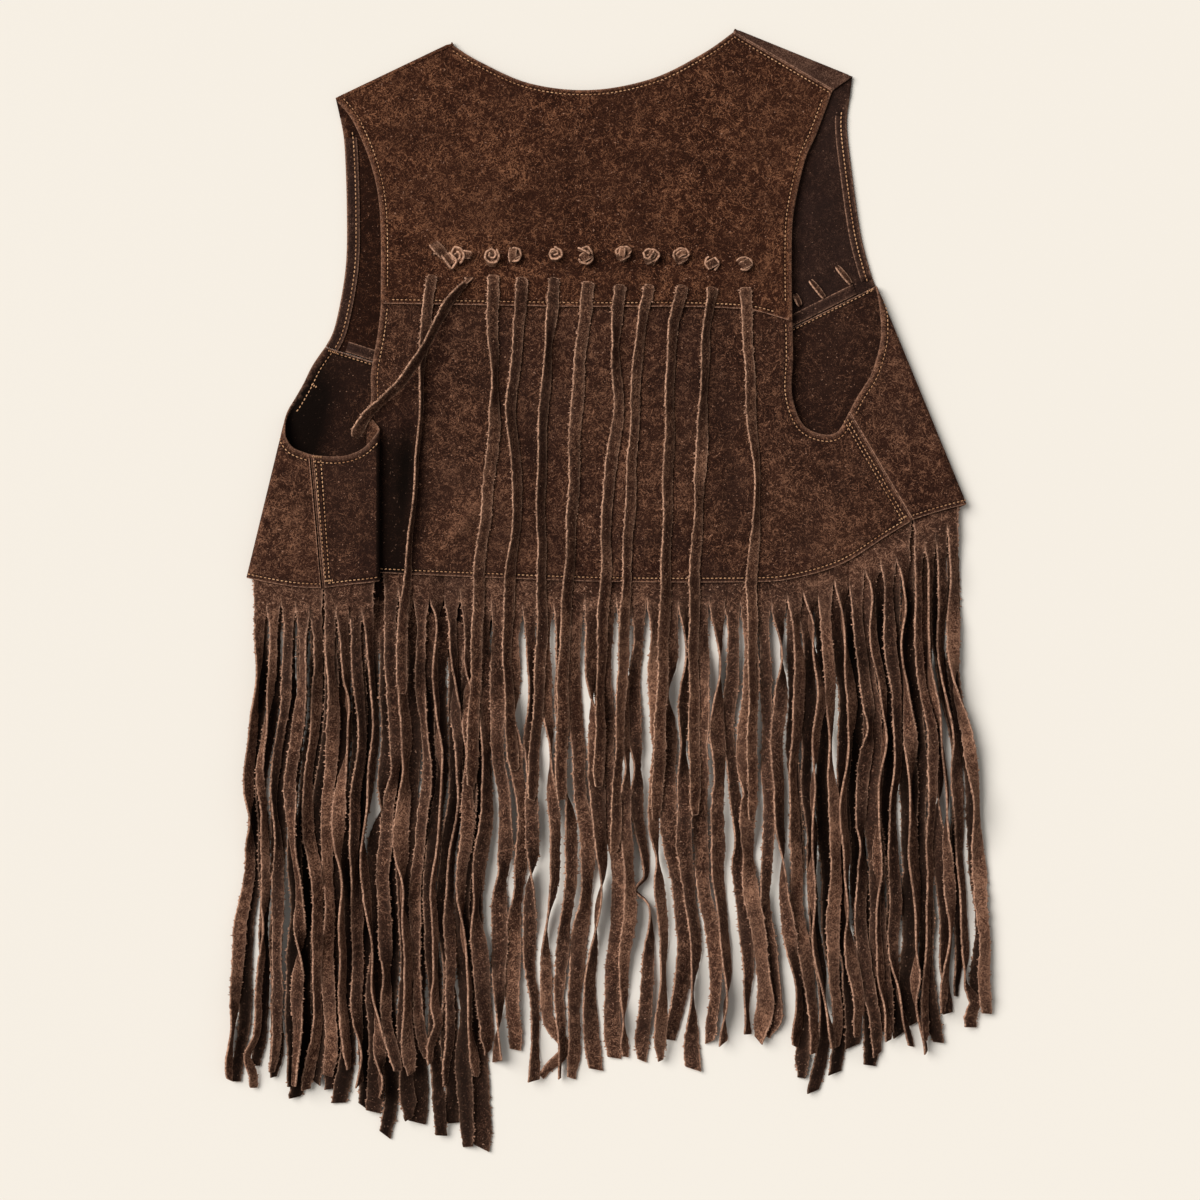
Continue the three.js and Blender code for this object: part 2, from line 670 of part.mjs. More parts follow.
// The fringes in the order in which they lie, the lowest first. Strands leave the hem from
// rootFrom to rootTo and end from endFrom to endTo, at the heights lowFrom to lowTo. stray is
// how far a strand wanders and twist how far it turns on edge, in radians.
const fringes = [
  {
    name: "fringe_front_left",
    hem: frontHemLeft,
    level: () => FRONT_LEVEL + LAP,
    strands: 17,
    rootFrom: -242.8,
    rootTo: -88,
    endFrom: -256,
    endTo: -92,
    lowFrom: -332,
    lowTo: -385,
    stray: 1,
    twist: 0.3,
  },
  {
    name: "fringe_front_right",
    hem: frontHemRight,
    level: () => FRONT_LEVEL + LAP,
    strands: 12,
    rootFrom: 129,
    rootTo: 240.8,
    endFrom: 136,
    endTo: 261,
    lowFrom: -340,
    lowTo: -287,
    stray: 1,
    twist: 0.3,
  },
  {
    name: "fringe_back",
    hem: backHem,
    level: (x, y) => backLevel(x, y) - LAP,
    strands: 34,
    rootFrom: -152.5,
    rootTo: 207,
    endFrom: -154,
    endTo: 217,
    lowFrom: -334,
    lowTo: -312,
    stray: 1.7,
    twist: 0.85,
  },
  {
    name: "fringe_back_left",
    hem: sideHem,
    level: (x, y) => placeBackPanel(overPleat(x), y, 0).z - LAP,
    strands: 4,
    rootFrom: -194.4,
    rootTo: -167.6,
    endFrom: -195,
    endTo: -164,
    lowFrom: -337,
    lowTo: -352,
    stray: 1.6,
    twist: 0.7,
  },
  {
    name: "fringe_side_left",
    hem: sideHem,
    level: (x, y) => rolledLevel(leftSide, liftLeft, x, y) - LAP,
    strands: 5,
    rootFrom: -243.6,
    rootTo: -203.6,
    endFrom: -263,
    endTo: -207,
    lowFrom: -344,
    lowTo: -334,
    stray: 1.6,
    twist: 0.8,
  },
  {
    name: "fringe_side_right",
    hem: sideHemRight,
    level: (x, y) => rolledLevel(rightSide, liftRight, x, y) - LAP,
    strands: 4,
    rootFrom: 217.4,
    rootTo: 241.6,
    endFrom: 228,
    endTo: 264,
    lowFrom: -306,
    lowTo: -288,
    stray: 1.4,
    twist: 0.7,
  },
];

// A band through its sections, each with four corners that follow each other round it.
function band(sections) {
  const vertices = sections.flat();
  const triangles = [
    [0, 1, 2],
    [0, 2, 3],
  ];
  for (let i = 0; i + 1 < sections.length; i += 1)
    for (let k = 0; k < 4; k += 1) {
      const [a, b] = [i * 4 + k, i * 4 + ((k + 1) % 4)];
      triangles.push([a, a + 4, b + 4], [a, b + 4, b]);
    }
  const end = vertices.length - 4;
  triangles.push([end, end + 2, end + 1], [end, end + 3, end + 2]);
  const made = solid(vertices, triangles);
  if (made.volume() > 0) return made;
  return solid(vertices, triangles.map(([a, b, c]) => [a, c, b]));
}

// A section across a strand at a height on y, turned about the strand.
function strandSection({ x, y, z, width, turn }) {
  const [u, v] = [width / 2, STRAND_THICKNESS / 2];
  const [c, s] = [Math.cos(turn), Math.sin(turn)];
  return [
    [x + u * c + v * s, y, z + u * s - v * c],
    [x + u * c - v * s, y, z + u * s + v * c],
    [x - u * c - v * s, y, z - u * s + v * c],
    [x - u * c + v * s, y, z - u * s - v * c],
  ];
}

// What has been laid down so far: strands as their places from root to end.
const laid = [];

// The height of what lies under a place, half being half the width that has to rest there.
function topUnder(x, y, half) {
  let top = 0;
  for (const { hem, from, to } of floorStrips) {
    if (x < from || x > to) continue;
    const above = y - heightAt(hem, x);
    if (above > STRIP_TUCK + 1) top = Math.max(top, CLOTH);
    else if (above > -STRIP_DROP - 1) top = Math.max(top, CLOTH + LAP);
  }
  for (const places of laid) {
    if (y > places[0].y || y < places.at(-1).y - 1) continue;
    let i = 0;
    while (i < places.length - 2 && y < places[i + 1].y) i += 1;
    const [a, b] = [places[i], places[i + 1]];
    const t = THREE.MathUtils.clamp((a.y - y) / (a.y - b.y), 0, 1);
    const reach = mix(a.half, b.half, t) + half + CLEAR;
    if (Math.abs(x - mix(a.x, b.x, t)) < reach) top = Math.max(top, mix(a.top, b.top, t));
  }
  return top;
}

// Raises the places of a strand or thong until it lies on what is under it and bridges gaps
// at an even slope. The first places stay as they are.
function rest(places, fixed, topAt) {
  const probes = [];
  for (let i = 0; i + 1 < places.length; i += 1) {
    const [a, b] = [places[i], places[i + 1]];
    const parts = Math.max(1, Math.ceil((a.y - b.y) / PROBE_STEP));
    for (let k = 0; k <= parts; k += 1) {
      const t = k / parts;
      const [x, y] = [mix(a.x, b.x, t), mix(a.y, b.y, t)];
      const need = topAt(x, y, mix(a.half, b.half, t)) + CLEAR + mix(a.rise, b.rise, t);
      probes.push({ y, need, segment: i });
    }
  }
  places.forEach((place, i) => {
    if (i < fixed) return;
    for (const { y, need, segment } of probes) {
      const touches = segment === i || segment === i - 1;
      const slack = touches ? 0 : LIE_SLOPE * Math.abs(y - place.y);
      place.z = Math.max(place.z, need - slack);
    }
  });
  for (const place of places) place.top = place.z + place.rise;
}

// Where a strand runs, before it is laid down.
function strandPlaces(fringe, index) {
  const { hem, level, strands, rootFrom, rootTo, endFrom, endTo, lowFrom, lowTo } = fringe;
  const share = strands > 1 ? index / (strands - 1) : 0;
  const seed = index + 100 * fringes.indexOf(fringe);
  const root = mix(rootFrom, rootTo, share);
  const end = mix(endFrom, endTo, share);
  const start = heightAt(hem, root) - STRIP_DROP + 3;
  const low = mix(lowFrom, lowTo, share) + 26 * (chance(seed, 1) - 0.5);
  const rootLevel = level(root, heightAt(hem, root));
  const width = STRAND_WIDTH * (0.9 + 0.16 * chance(seed, 2));
  const calm = index % 2 ? 1 : 0.45;
  const fullTwist = fringe.twist * calm * (0.25 + 0.85 * chance(seed, 3) ** 1.5);
  return STATIONS.map((v) => {
    const y = mix(start, low, v);
    const sway = 2.6 * Math.sin(y / 41 + root / 47) + 1.3 * Math.sin(y / 19 + root / 31);
    const own = Math.sin(v * (4 + 5 * chance(seed, 4)) + 6 * chance(seed, 5));
    const wander = (sway + fringe.stray * own) * smooth(0, 0.3, v);
    const x = mix(root, end, smooth(0, 1, v)) + wander;
    const wave = Math.sin(v * (5 + 6 * chance(seed, 6)) + 6 * chance(seed, 7));
    const turn = fullTwist * wave * smooth(0.03, 0.3, v);
    const taper = width * (1 - 0.3 * smooth(0.9, 1, v));
    const half = (taper * Math.cos(turn) + STRAND_THICKNESS * Math.abs(Math.sin(turn))) / 2;
    const rise = (taper * Math.abs(Math.sin(turn)) + STRAND_THICKNESS * Math.cos(turn)) / 2;
    const z = mix(rootLevel, 0, smooth(0, DROP_REACH, start - y));
    return { x, y, z, width: taper, turn, half, rise };
  });
}

// The ends of the strips on the fronts, which lie on the fronts' inner side.
const stripEnds = ({ rootFrom, rootTo }) => [rootFrom - 4.6, rootTo + 4.6];
const floorStrips = fringes.slice(0, 2).map(({ hem, ...fringe }) => {
  const [from, to] = stripEnds(fringe);
  return { hem, from, to };
});

// The strip that the strands are cut in. It lies under the cloth along the hem.
function makeStrip(fringe) {
  const [from, to] = stripEnds(fringe);
  const steps = Math.ceil((to - from) / 16);
  const sections = Array.from({ length: steps + 1 }, (_, k) => {
    const x = mix(from, to, k / steps);
    const hem = heightAt(fringe.hem, x);
    const z = fringe.level(x, hem);
    const inner = Math.min(z, fringe.level(x, hem + STRIP_TUCK));
    return [
      [x, hem + STRIP_TUCK, inner - CLOTH / 2],
      [x, hem + STRIP_TUCK, inner + CLOTH / 2],
      [x, hem - STRIP_DROP, z + CLOTH / 2],
      [x, hem - STRIP_DROP, z - CLOTH / 2],
    ];
  });
  return band(sections);
}

// Every second strand lies over its neighbours where they cross.
function makeFringe(fringe) {
  const order = Array.from({ length: fringe.strands }, (_, i) => i);
  order.sort((a, b) => (a % 2) - (b % 2) || a - b);
  let made = makeStrip(fringe);
  for (const index of order) {
    const places = strandPlaces(fringe, index);
    rest(places, 2, topUnder);
    laid.push(places);
    made = made.add(band(places.map(strandSection)));
  }
  return made;
}

// The top of the back's cloth and of what it leaves open.
function backTop(x, y) {
  const over = backLevel(x, y) + CLOTH / 2;
  if (y > heightAt(yokeEdge, x) - 1) return yokeLevel(x, y) + CLOTH / 2;
  if (y < heightAt(backHem, x)) return 0;
  if (x > pleat.ridgeX) return over;
  return x > pleat.valleyX - 3.5 ? over + 2 * pleat.valleyRadius : CLOTH;
}

// A ribbon through places with the direction across it.
function ribbon(places) {
  const sections = places.map(({ at, across, width, thickness }, i) => {
    const before = places[Math.max(i - 1, 0)].at;
    const after = places[Math.min(i + 1, places.length - 1)].at;
    const tangent = after.clone().sub(before).normalize();
    const normal = tangent.cross(across).normalize();
    const corner = (u, v) =>
      at
        .clone()
        .addScaledVector(across, (u * width) / 2)
        .addScaledVector(normal, (v * thickness) / 2)
        .toArray();
    return [corner(1, -1), corner(1, 1), corner(-1, 1), corner(-1, -1)];
  });
  return band(sections);
}

const ACROSS = new THREE.Vector3(1, 0, 0);
const UPRIGHT = new THREE.Vector3(0, 0, 1);

// The knot is the thong's end, wound on edge round itself.
function makeKnot({ knotX, knotY }, index) {
  const start = 2 * Math.PI * chance(index, 11);
  const hand = index % 2 ? 1 : -1;
  const places = Array.from({ length: KNOT_STEPS + 1 }, (_, k) => {
    const v = k / KNOT_STEPS;
    const angle = start + hand * 2 * Math.PI * KNOT_TURNS * v;
    const radius = mix(2, 5.4, v ** 0.8);
    const height = KNOT_HEIGHT * (1 - 0.25 * v);
    const [x, y] = [knotX + radius * Math.cos(angle), knotY + radius * Math.sin(angle)];
    const foot = yokeLevel(x, y) + CLOTH / 2 + CLEAR + FACET_SLACK;
    const at = new THREE.Vector3(x, y, foot + height / 2);
    return { at, across: UPRIGHT, width: height, thickness: THONG_THICKNESS };
  });
  return ribbon(places);
}

// The part of a thong that goes down through the yoke by the knot, along under the yoke and up
// again at the exit.
function threaded({ knotX, knotY, exitX, exitY }) {
  const half = THONG_THICKNESS / 2;
  const under =
    Math.min(yokeLevel(knotX, knotY), yokeLevel(exitX, exitY)) - CLOTH / 2 - CLEAR - half - 0.15;
  const over = yokeLevel(exitX, exitY) + CLOTH / 2 + CLEAR + half;
  const slant = Math.SQRT1_2 * SLIT_BEND;
  const bend = SLIT_BEND;
  const side = [
    [0, yokeLevel(knotX, knotY) + CLOTH / 2 + KNOT_HEIGHT - 0.8],
    [0, under + bend],
    [-bend + slant, under + bend - slant],
    [-bend, under],
  ].map(([y, z]) => ({ x: knotX, y: knotY + y, z }));
  const exit = [
    [bend, under],
    [bend - slant, under + bend - slant],
    [0, under + bend],
    [0, over - bend],
    [-bend + slant, over - bend + slant],
    [-bend, over],
  ].map(([y, z]) => ({ x: exitX, y: exitY + y, z }));
  return [...side, ...exit].map(({ x, y, z }) => ({
    at: new THREE.Vector3(x, y, z),
    across: ACROSS,
    width: THONG_WIDTH - 0.6,
    thickness: THONG_THICKNESS,
  }));
}

// The way of a thong over the yoke, the panel and the fringe, from its exit to its end.
function hangingRoute({ exitX, exitY, route, endX, endY }) {
  const rows = route.map((x, i) => ({ x: ROUTE_HEIGHTS[i], y: x }));
  const above = rows.filter((row) => row.x > endY + 12);
  const path = [{ x: endY, y: endX }, ...above.reverse(), { x: exitY, y: exitX }];
  const edge = heightAt(yokeEdge, exitX);
  const stops = [exitY - SLIT_BEND - 3, edge, edge - 7, endY];
  return gridLines(stops, THONG_STEP).map((y) => ({ x: heightAt(path, y), y }));
}

// The one thong that crosses to the left armhole and drops through it.
const crossingRoute = [
  { x: -99.8, y: 218.4 },
  { x: -105, y: 212.6 },
  { x: -111.5, y: 204.6 },
  { x: -116.5, y: 196 },
  { x: -122, y: 185 },
  { x: -129, y: 170.5 },
  { x: -142.1, y: 151.2 },
  { x: -153, y: 140.5 },
  { x: -161, y: 133.5 },
  { x: -169.5, y: 124.5 },
  { x: -177.1, y: 111.3 },
];

function makeThong(thong, index) {
  const crosses = thong.route.length === 0;
  const route = crosses ? crossingRoute : hangingRoute(thong);
  const places = route.map(({ x, y }, i) => {
    const width = THONG_WIDTH * (1 - 0.45 * smooth(route.length - 3, route.length - 1, i));
    return { x, y, z: 0, half: width / 2, rise: THONG_THICKNESS / 2, width };
  });
  const clothOrFringe = (x, y, half) => {
    const cloth = Math.max(backTop(x - half, y), backTop(x, y), backTop(x + half, y));
    return Math.max(cloth + FACET_SLACK, topUnder(x, y, half));
  };
  rest(places, 0, clothOrFringe);
  laid.push(places);
  const hanging = places.map(({ x, y, z, width }, i) => {
    const before = places[Math.max(i - 1, 0)];
    const after = places[Math.min(i + 1, places.length - 1)];
    const across = new THREE.Vector3(before.y - after.y, after.x - before.x, 0).normalize();
    return { at: new THREE.Vector3(x, y, z), across, width, thickness: THONG_THICKNESS };
  });
  return ribbon([...threaded(thong), ...hanging]).add(makeKnot(thong, index));
}

// Short loops of the fronts' own thongs, on the inner side of the right front yoke.
const LOOP_WIDTH = 4.6;
const innerLoops = [
  { fromX: 160.3, fromY: 231, toX: 170.2, toY: 218.9 },
  { fromX: 141.8, fromY: 221.2, toX: 151.6, toY: 209.1 },
  { fromX: 130.9, fromY: 211.4, toX: 134.6, toY: 203.6 },
];

function makeLoop({ fromX, fromY, toX, toY }) {
  const run = new THREE.Vector3(toX - fromX, toY - fromY, 0);
  const across = new THREE.Vector3(-run.y, run.x, 0).normalize();
  const low = CLOTH + CLEAR + THONG_THICKNESS / 2;
  const places = [0, 0.25, 0.75, 1].map((v) => {
    const bulge = v > 0 && v < 1 ? 0.5 : 0;
    const at = new THREE.Vector3(fromX, fromY, low + bulge).addScaledVector(run, v);
    return { at, across, width: LOOP_WIDTH, thickness: THONG_THICKNESS };
  });
  return ribbon(places);
}

const suede = {
  yoke: { color: 0x452a1e, roughness: 0.93, metalness: 0 },
  panel: { color: 0x4a3126, roughness: 0.93, metalness: 0 },
  inside: { color: 0x3c2822, roughness: 0.95, metalness: 0 },
  fringe: { color: 0x4b3228, roughness: 0.92, metalness: 0 },
  thong: { color: 0x6a4838, roughness: 0.9, metalness: 0 },
};

const vest = new THREE.Group();

function addPiece(name, piece, finish) {
  const { vertProperties, triVerts } = piece.getMesh();
  const geometry = new THREE.BufferGeometry();
  geometry.setAttribute("position", new THREE.BufferAttribute(vertProperties, 3));
  geometry.setIndex(new THREE.BufferAttribute(triVerts, 1));
  geometry.computeVertexNormals();
  const mesh = new THREE.Mesh(geometry, new THREE.MeshStandardMaterial(finish));
  mesh.name = name;
  vest.add(mesh);
}

addPiece("back_yoke", makeBackYoke(), suede.yoke);
addPiece("back_panel", makeBackPanel(), suede.panel);
addPiece("front_yoke_left", makeFrontYokeLeft(), suede.inside);
addPiece("front_yoke_right", makeFrontYokeRight(), suede.inside);
addPiece("front_panel_left", makeFrontPanelLeft(), suede.panel);
addPiece("front_panel_right", makeFrontPanelRight(), suede.panel);
for (const fringe of fringes) addPiece(fringe.name, makeFringe(fringe), suede.fringe);
thongs.forEach((thong, i) => {
  const number = String(i + 1).padStart(2, "0");
  addPiece(`thong_${number}`, makeThong(thong, i), suede.thong);
});
innerLoops.forEach((loop, i) => addPiece(`inner_loop_${i + 1}`, makeLoop(loop), suede.thong));

// The origin lies under the middle of the vest as it lies.
vest.position.set(-MIDDLE.x, -MIDDLE.y, 0);

export default vest;
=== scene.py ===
"""A dark brown suede vest with a fringed hem, laid flat on its front and seen from above.

Lengths are in millimetres until a mesh is made. x runs to the wearer's right, y towards the
neck and z up from the surface. y = 0 is the level where the slits of the back's fringe begin.
"""

import math

import bpy
import numpy as np
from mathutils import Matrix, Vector
from mathutils.geometry import delaunay_2d_cdt


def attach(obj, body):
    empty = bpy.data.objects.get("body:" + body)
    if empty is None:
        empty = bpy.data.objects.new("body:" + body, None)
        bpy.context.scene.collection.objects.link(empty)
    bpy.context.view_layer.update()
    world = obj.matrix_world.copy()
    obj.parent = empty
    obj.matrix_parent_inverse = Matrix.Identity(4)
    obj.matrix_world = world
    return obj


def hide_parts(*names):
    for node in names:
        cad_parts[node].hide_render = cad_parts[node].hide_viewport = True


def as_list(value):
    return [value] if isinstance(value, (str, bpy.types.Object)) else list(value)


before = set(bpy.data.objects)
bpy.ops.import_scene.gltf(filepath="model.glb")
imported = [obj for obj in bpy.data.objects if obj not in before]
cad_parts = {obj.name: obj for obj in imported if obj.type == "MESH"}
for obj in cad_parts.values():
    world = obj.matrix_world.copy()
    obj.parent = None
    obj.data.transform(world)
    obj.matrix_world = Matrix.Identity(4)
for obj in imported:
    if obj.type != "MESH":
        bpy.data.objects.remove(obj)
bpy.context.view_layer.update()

MM = 0.001
MIDDLE = np.array([-1.4, 5.4, 0.0])
UP = np.array([0.0, 0.0, 1.0])

# The suede and how close its pieces lie.
CLOTH = 1.6
LAYER_GAP = 0.3
SEAM_GAP = 0.3
LAP = CLOTH + LAYER_GAP
FRONT_LEVEL = CLOTH / 2
BACK_LEVEL = 6
HEM_RISE = 0.7
HEM_RISE_REACH = 60
SHOULDER_REACH = 80
SIDE_REACH = 95
YOKE_LAP = 7
LAP_SLOPE = 26
STRIP_TUCK = 6
STRIP_DROP = 12

# Strands of the fringe and thongs.
STRAND_WIDTH = 8.4
STRAND_THICKNESS = 1.4
STRAND_STEP = 4.5
PLACES_A_STEP = 2
WIDTH_LEAST, WIDTH_SPREAD = 0.8, 0.38
WIDTH_OVER_FRONT = 0.86
END_SPREAD = 26
EDGE_UNEVEN = 0.26
DROP_REACH = 95
LIE_SLOPE = 0.3
CLEAR = 0.12
THONG_WIDTH = 7.2
THONG_THICKNESS = 1.3
SLIT_LENGTH = 8.4
SLIT_WIDTH = 2.5
SLIT_BEND = 1.2
KNOT_THICKNESS = 1.5

# Tones of the strands and thongs, with painted shade on the lower strands and on the fronts' fringes
# under the back's, and how pale a knot's rims are.
STRAND_TONE, STRAND_TONE_SPREAD = 0.34, 0.62
ROOT_TONE = 0.46
LOWER_STRAND_PAINTED_SHADE = 0.12
FRONT_FRINGE_PAINTED_SHADE = 0.8
FRONT_FRINGE_RIMS_IN_SHADE = 0.5
THONG_TONE, THONG_TONE_SPREAD = 0.22, 0.48
# The knots' tone is set lighter than the suede's own, as painted light on the coils' walls and loose
# ends.
KNOT_TONE_PAINTED_LIGHT, FLAP_TONE = 1.15, 0.6
KNOT_BARE = 0.95

# Mesh steps of the panels.
PANEL_STEP = 2.6
FINE_STEP = 0.55
EDGE_STEP = 2.0
SLIT_STEP = 0.9
RINGS = (0.3, 0.85)

# Sewing, and how far it is from a neck, an armhole and a raw edge.
NECK_SEAM = 3.4
ARMHOLE_SEAM = 4.7
EDGE_SEAM = 2.9
STITCH_PITCH = 3.0
STITCH_LENGTH = 2.05
STITCH_RADIUS = 0.43
BARTACK_PITCH = 1.1
BARTACK_SHARE = 0.7
BARTACK_HEIGHT = 0.3
TAPE_GAP = 0.05
TAPE_BARE = 0.6
ROW_OFFSETS = (-1.4, -0.6, 0, 0.6, 1.4)
ROW_STEP = 1.7

# The relief that sewing gives the suede: depth or height, distance from the row, and width.
GROOVE_DEPTH, GROOVE_WIDTH = 0.46, 0.62
BESIDE_HEIGHT, BESIDE_DISTANCE, BESIDE_WIDTH = 0.16, 2.2, 1.4
PUCKER_HEIGHT, PUCKER_DISTANCE, PUCKER_WIDTH = 0.16, 2.5, 3
HEMMED_HEIGHT, HEMMED_PAST_SEAM, HEMMED_SLOPE = 0.4, 0.9, 1.6

# Edges of the panels: the radius that rounds them, and the share of the thickness at the rim.
TURNED_RADIUS, TURNED_SHARE = 1.3, 0.3
RAW_RADIUS, RAW_SHARE = 0.5, 0.7

# How pale the suede is where it is folded, cut or slit, and tones where 0.5 is the plain one.
FOLDED_PALE, RAW_PALE, SLIT_PALE = 0.42, 0.85, 0.12
PLAIN_TONE = 0.5
HEMMED_TONE = 0.22
ROW_DARK, ROW_DARK_WIDTH = 0.5, 0.85
ROW_SHADE, ROW_SHADE_WIDTH = 0.12, 2.2


def smooth(low, high, value):
    t = np.clip((np.asarray(value, float) - low) / (high - low), 0, 1)
    return t * t * (3 - 2 * t)


def mix(a, b, t):
    return a + (b - a) * t


def hump(distance, width):
    """A smooth rise of height one."""
    return np.exp(-((distance / width) ** 2))


def chance(piece, use):
    """A number from 0 to 1 that is the same each time for the same piece and use."""
    wave = math.sin(piece * 12.9898 + use * 78.233) * 43758.5453
    return wave - math.floor(wave)


def spline(rows, steps):
    """Points of a smooth curve through the rows of a table."""
    p = np.array(rows, float)
    last = len(p) - 1
    t = np.linspace(0, last, steps + 1)
    i = np.minimum(t.astype(int), last - 1)
    w = (t - i)[:, None]
    before, a, b, after = p[np.maximum(i - 1, 0)], p[i], p[i + 1], p[np.minimum(i + 2, last)]
    va, vb = (b - before) / 2, (after - a) / 2
    return (2 * a - 2 * b + va + vb) * w**3 + (3 * b - 3 * a - 2 * va - vb) * w**2 + va * w + a


def height_at(rows, x):
    """The height of a curve that runs from left to right, over a place on x."""
    p = np.array(rows, float)
    x = np.asarray(x, float)
    last = len(p) - 1
    i = np.clip(np.searchsorted(p[1:last, 0], x, side="left"), 0, last - 1)
    a, b = p[i], p[i + 1]
    before, after = p[np.maximum(i - 1, 0)], p[np.minimum(i + 2, last)]
    span = b[..., 0] - a[..., 0]
    slope_a = (b[..., 1] - before[..., 1]) / (b[..., 0] - before[..., 0])
    slope_b = (after[..., 1] - a[..., 1]) / (after[..., 0] - a[..., 0])
    t = (x - a[..., 0]) / span
    ease = t * (1 - t) * ((1 - t) * slope_a - t * slope_b) * span
    return a[..., 1] + (b[..., 1] - a[..., 1]) * t * t * (3 - 2 * t) + ease


def curve_points(rows, start, end, steps):
    """Points of a height curve from one place on x to another."""
    x = np.linspace(start, end, steps + 1)
    return np.c_[x, height_at(rows, x)]


# The seam lines of the shoulders and sides, as they lie on the back.
SHOULDER_LEFT = ((-109.2, 388.5), (-191.1, 349.3))
SHOULDER_RIGHT = ((88.9, 397.9), (171.5, 364.4))
SHOULDER_SEAM_LEFT = ((-107.9, 385.8), (-189.8, 346.6))
SHOULDER_SEAM_RIGHT = ((87.6, 395), (157.5, 354.2))
SIDE_SEAM_LEFT = ((-206.5, 98.6), (-198.1, 5.6))
SIDE_SEAM_RIGHT = ((168.5, 128.5), (212.8, 53.2))
YOKE_SEAM_LEFT = ((-198.1, 175), (-60, 131))
YOKE_SEAM_RIGHT = ((187.6, 217.4), (60, 154))

# The back's edges.
NECKLINE = [
    (-107.6, 385.3), (-89.7, 374.4), (-54.9, 359), (-12, 354.2),
    (30.8, 362.3), (65.7, 379.7), (86.8, 394.4),
]
YOKE_ARMHOLE_LEFT = [
    (-158.9, 204.4), (-159.6, 267.4), (-165.9, 301.7), (-178.5, 332), (-189, 345.6),
]
YOKE_ARMHOLE_RIGHT = [
    (157.3, 353.8), (146, 323.4), (137.9, 304.7), (130.4, 271), (128.6, 245.7), (128.8, 192.5),
]
YOKE_EDGE = [(-167, 204.6), (-28, 202.3), (95, 200.4), (135, 190)]
PANEL_ARMHOLE_RIGHT = [
    (128.8, 198), (129.5, 166.9), (128.7, 142), (135.5, 121.4),
    (148, 113.6), (160.3, 114.8), (168.5, 128.5),
]
BACK_HEM = [
    (-170, 16.6), (-96.6, 13.3), (0, 9.9), (105, 9.8),
    (128.1, 11.9), (163.8, 22.4), (196, 42.6), (214, 53.4),
]

# The back's cloth beside the left armhole turns under itself in a pleat.
VALLEY_X, VALLEY_RADIUS, RIDGE_X, RIDGE_RADIUS = -167, 1.2, -162, 1.9
VALLEY_START = -VALLEY_X
VALLEY_END = VALLEY_START + math.pi * VALLEY_RADIUS
RIDGE_START = VALLEY_END + RIDGE_X - VALLEY_X
RIDGE_END = RIDGE_START + math.pi * RIDGE_RADIUS
PLEAT_RISE = 2 * (VALLEY_RADIUS + RIDGE_RADIUS)


def over_pleat(x):
    return RIDGE_END + RIDGE_X - x


PANEL_ARMHOLE_LEFT = [
    (158.6, 207), (161, 184.8), (165.9, 156.1), (166.6, 134), (RIDGE_END - 3, 117),
    (over_pleat(-171.5), 102.9), (over_pleat(-187), 97.6), (over_pleat(-206.5), 98.6),
]
SIDE_HEM_BACK = [
    (over_pleat(-198.1), 5.6), (over_pleat(-182), 7.7), (RIDGE_END - 3, 10.5),
    (VALLEY_START, 16.5),
]

# The outer edges of the rolls at the sides and shoulders: from, to, outward and radius.
LEFT_SIDE = ((-226.8, 122.5), (-252.8, 14.7), -1, 4.2)
RIGHT_SIDE = ((188.3, 217.7), (251.3, 64.4), 1, 3.2)
SHOULDER_RADIUS = 0.975
LEFT_SHOULDER = (*SHOULDER_LEFT, -1, SHOULDER_RADIUS)
RIGHT_SHOULDER = (*SHOULDER_RIGHT, 1, SHOULDER_RADIUS)
SHOULDER_LEVEL = FRONT_LEVEL + 2 * SHOULDER_RADIUS
SIDE_LEVEL_LEFT = FRONT_LEVEL + 2 * LEFT_SIDE[3]
SIDE_LEVEL_RIGHT = FRONT_LEVEL + 2 * RIGHT_SIDE[3]

# The fronts' edges.
FRONT_ARMHOLE_LEFT_TOP = [(-206.8, 98.6), (-219.8, 103.6), (-225.5, 111.6)]
FRONT_ARMHOLE_LEFT_LOW = [(-223.4, 133), (-214.5, 147.3), (-207.3, 161.7), (-198.1, 175)]
FRONT_ARMHOLE_RIGHT = [
    (168.9, 128.9), (174.8, 140.1), (183.7, 154.4), (189, 170.5),
    (191.1, 184.8), (189.7, 203.7), (188.3, 217.7),
]
FRONT_YOKE_ARMHOLE_LEFT = [
    (-198.1, 175), (-191.2, 190.4), (-184.1, 229.6), (-183.2, 270), (-184.8, 315.7),
    (-187.6, 334.2),
]
FRONT_YOKE_ARMHOLE_RIGHT = [
    (187.6, 217.4), (183.4, 229.6), (176.8, 256.5), (170.1, 304.7), (167.6, 331),
    (169.3, 347.6),
]
FRONT_NECK_LEFT = [(-109.4, 384.2), (-84, 322), (-66, 230), (-60, 131)]
FRONT_NECK_RIGHT = [(88.6, 393.4), (76, 330), (64, 250), (60, 154)]
FRONT_HEM_LEFT = [(-258, 14.5), (-225, 8), (-150, -11), (-83, -31)]
FRONT_HEM_RIGHT = [(124, 0), (175, 25), (225, 51.5), (258, 67.5)]
SIDE_HEM = [
    (-252.7, 12.6), (-235.9, 9.1), (-217.7, 6.3), (-198.4, 5.6), (-182, 7.7), (-159.6, 10.5),
]
SIDE_HEM_RIGHT = [(213.1, 53.3), (230.3, 58.8), (251.3, 64.4)]

# Soft swells of the back: x, y, length, width, angle in degrees, height.
BILLOWS = [
    (-95, 58, 62, 22, 46, 2.4),
    (-20, 120, 90, 34, 84, 1.4),
    (52, 96, 95, 40, 100, 2),
    (108, 70, 70, 36, 60, 1.8),
    (-128, 150, 60, 26, 95, 1.1),
    (-70, 285, 95, 50, 30, 1.3),
    (48, 300, 100, 48, 150, 1.6),
    (100, 240, 60, 34, 80, 0.9),
]

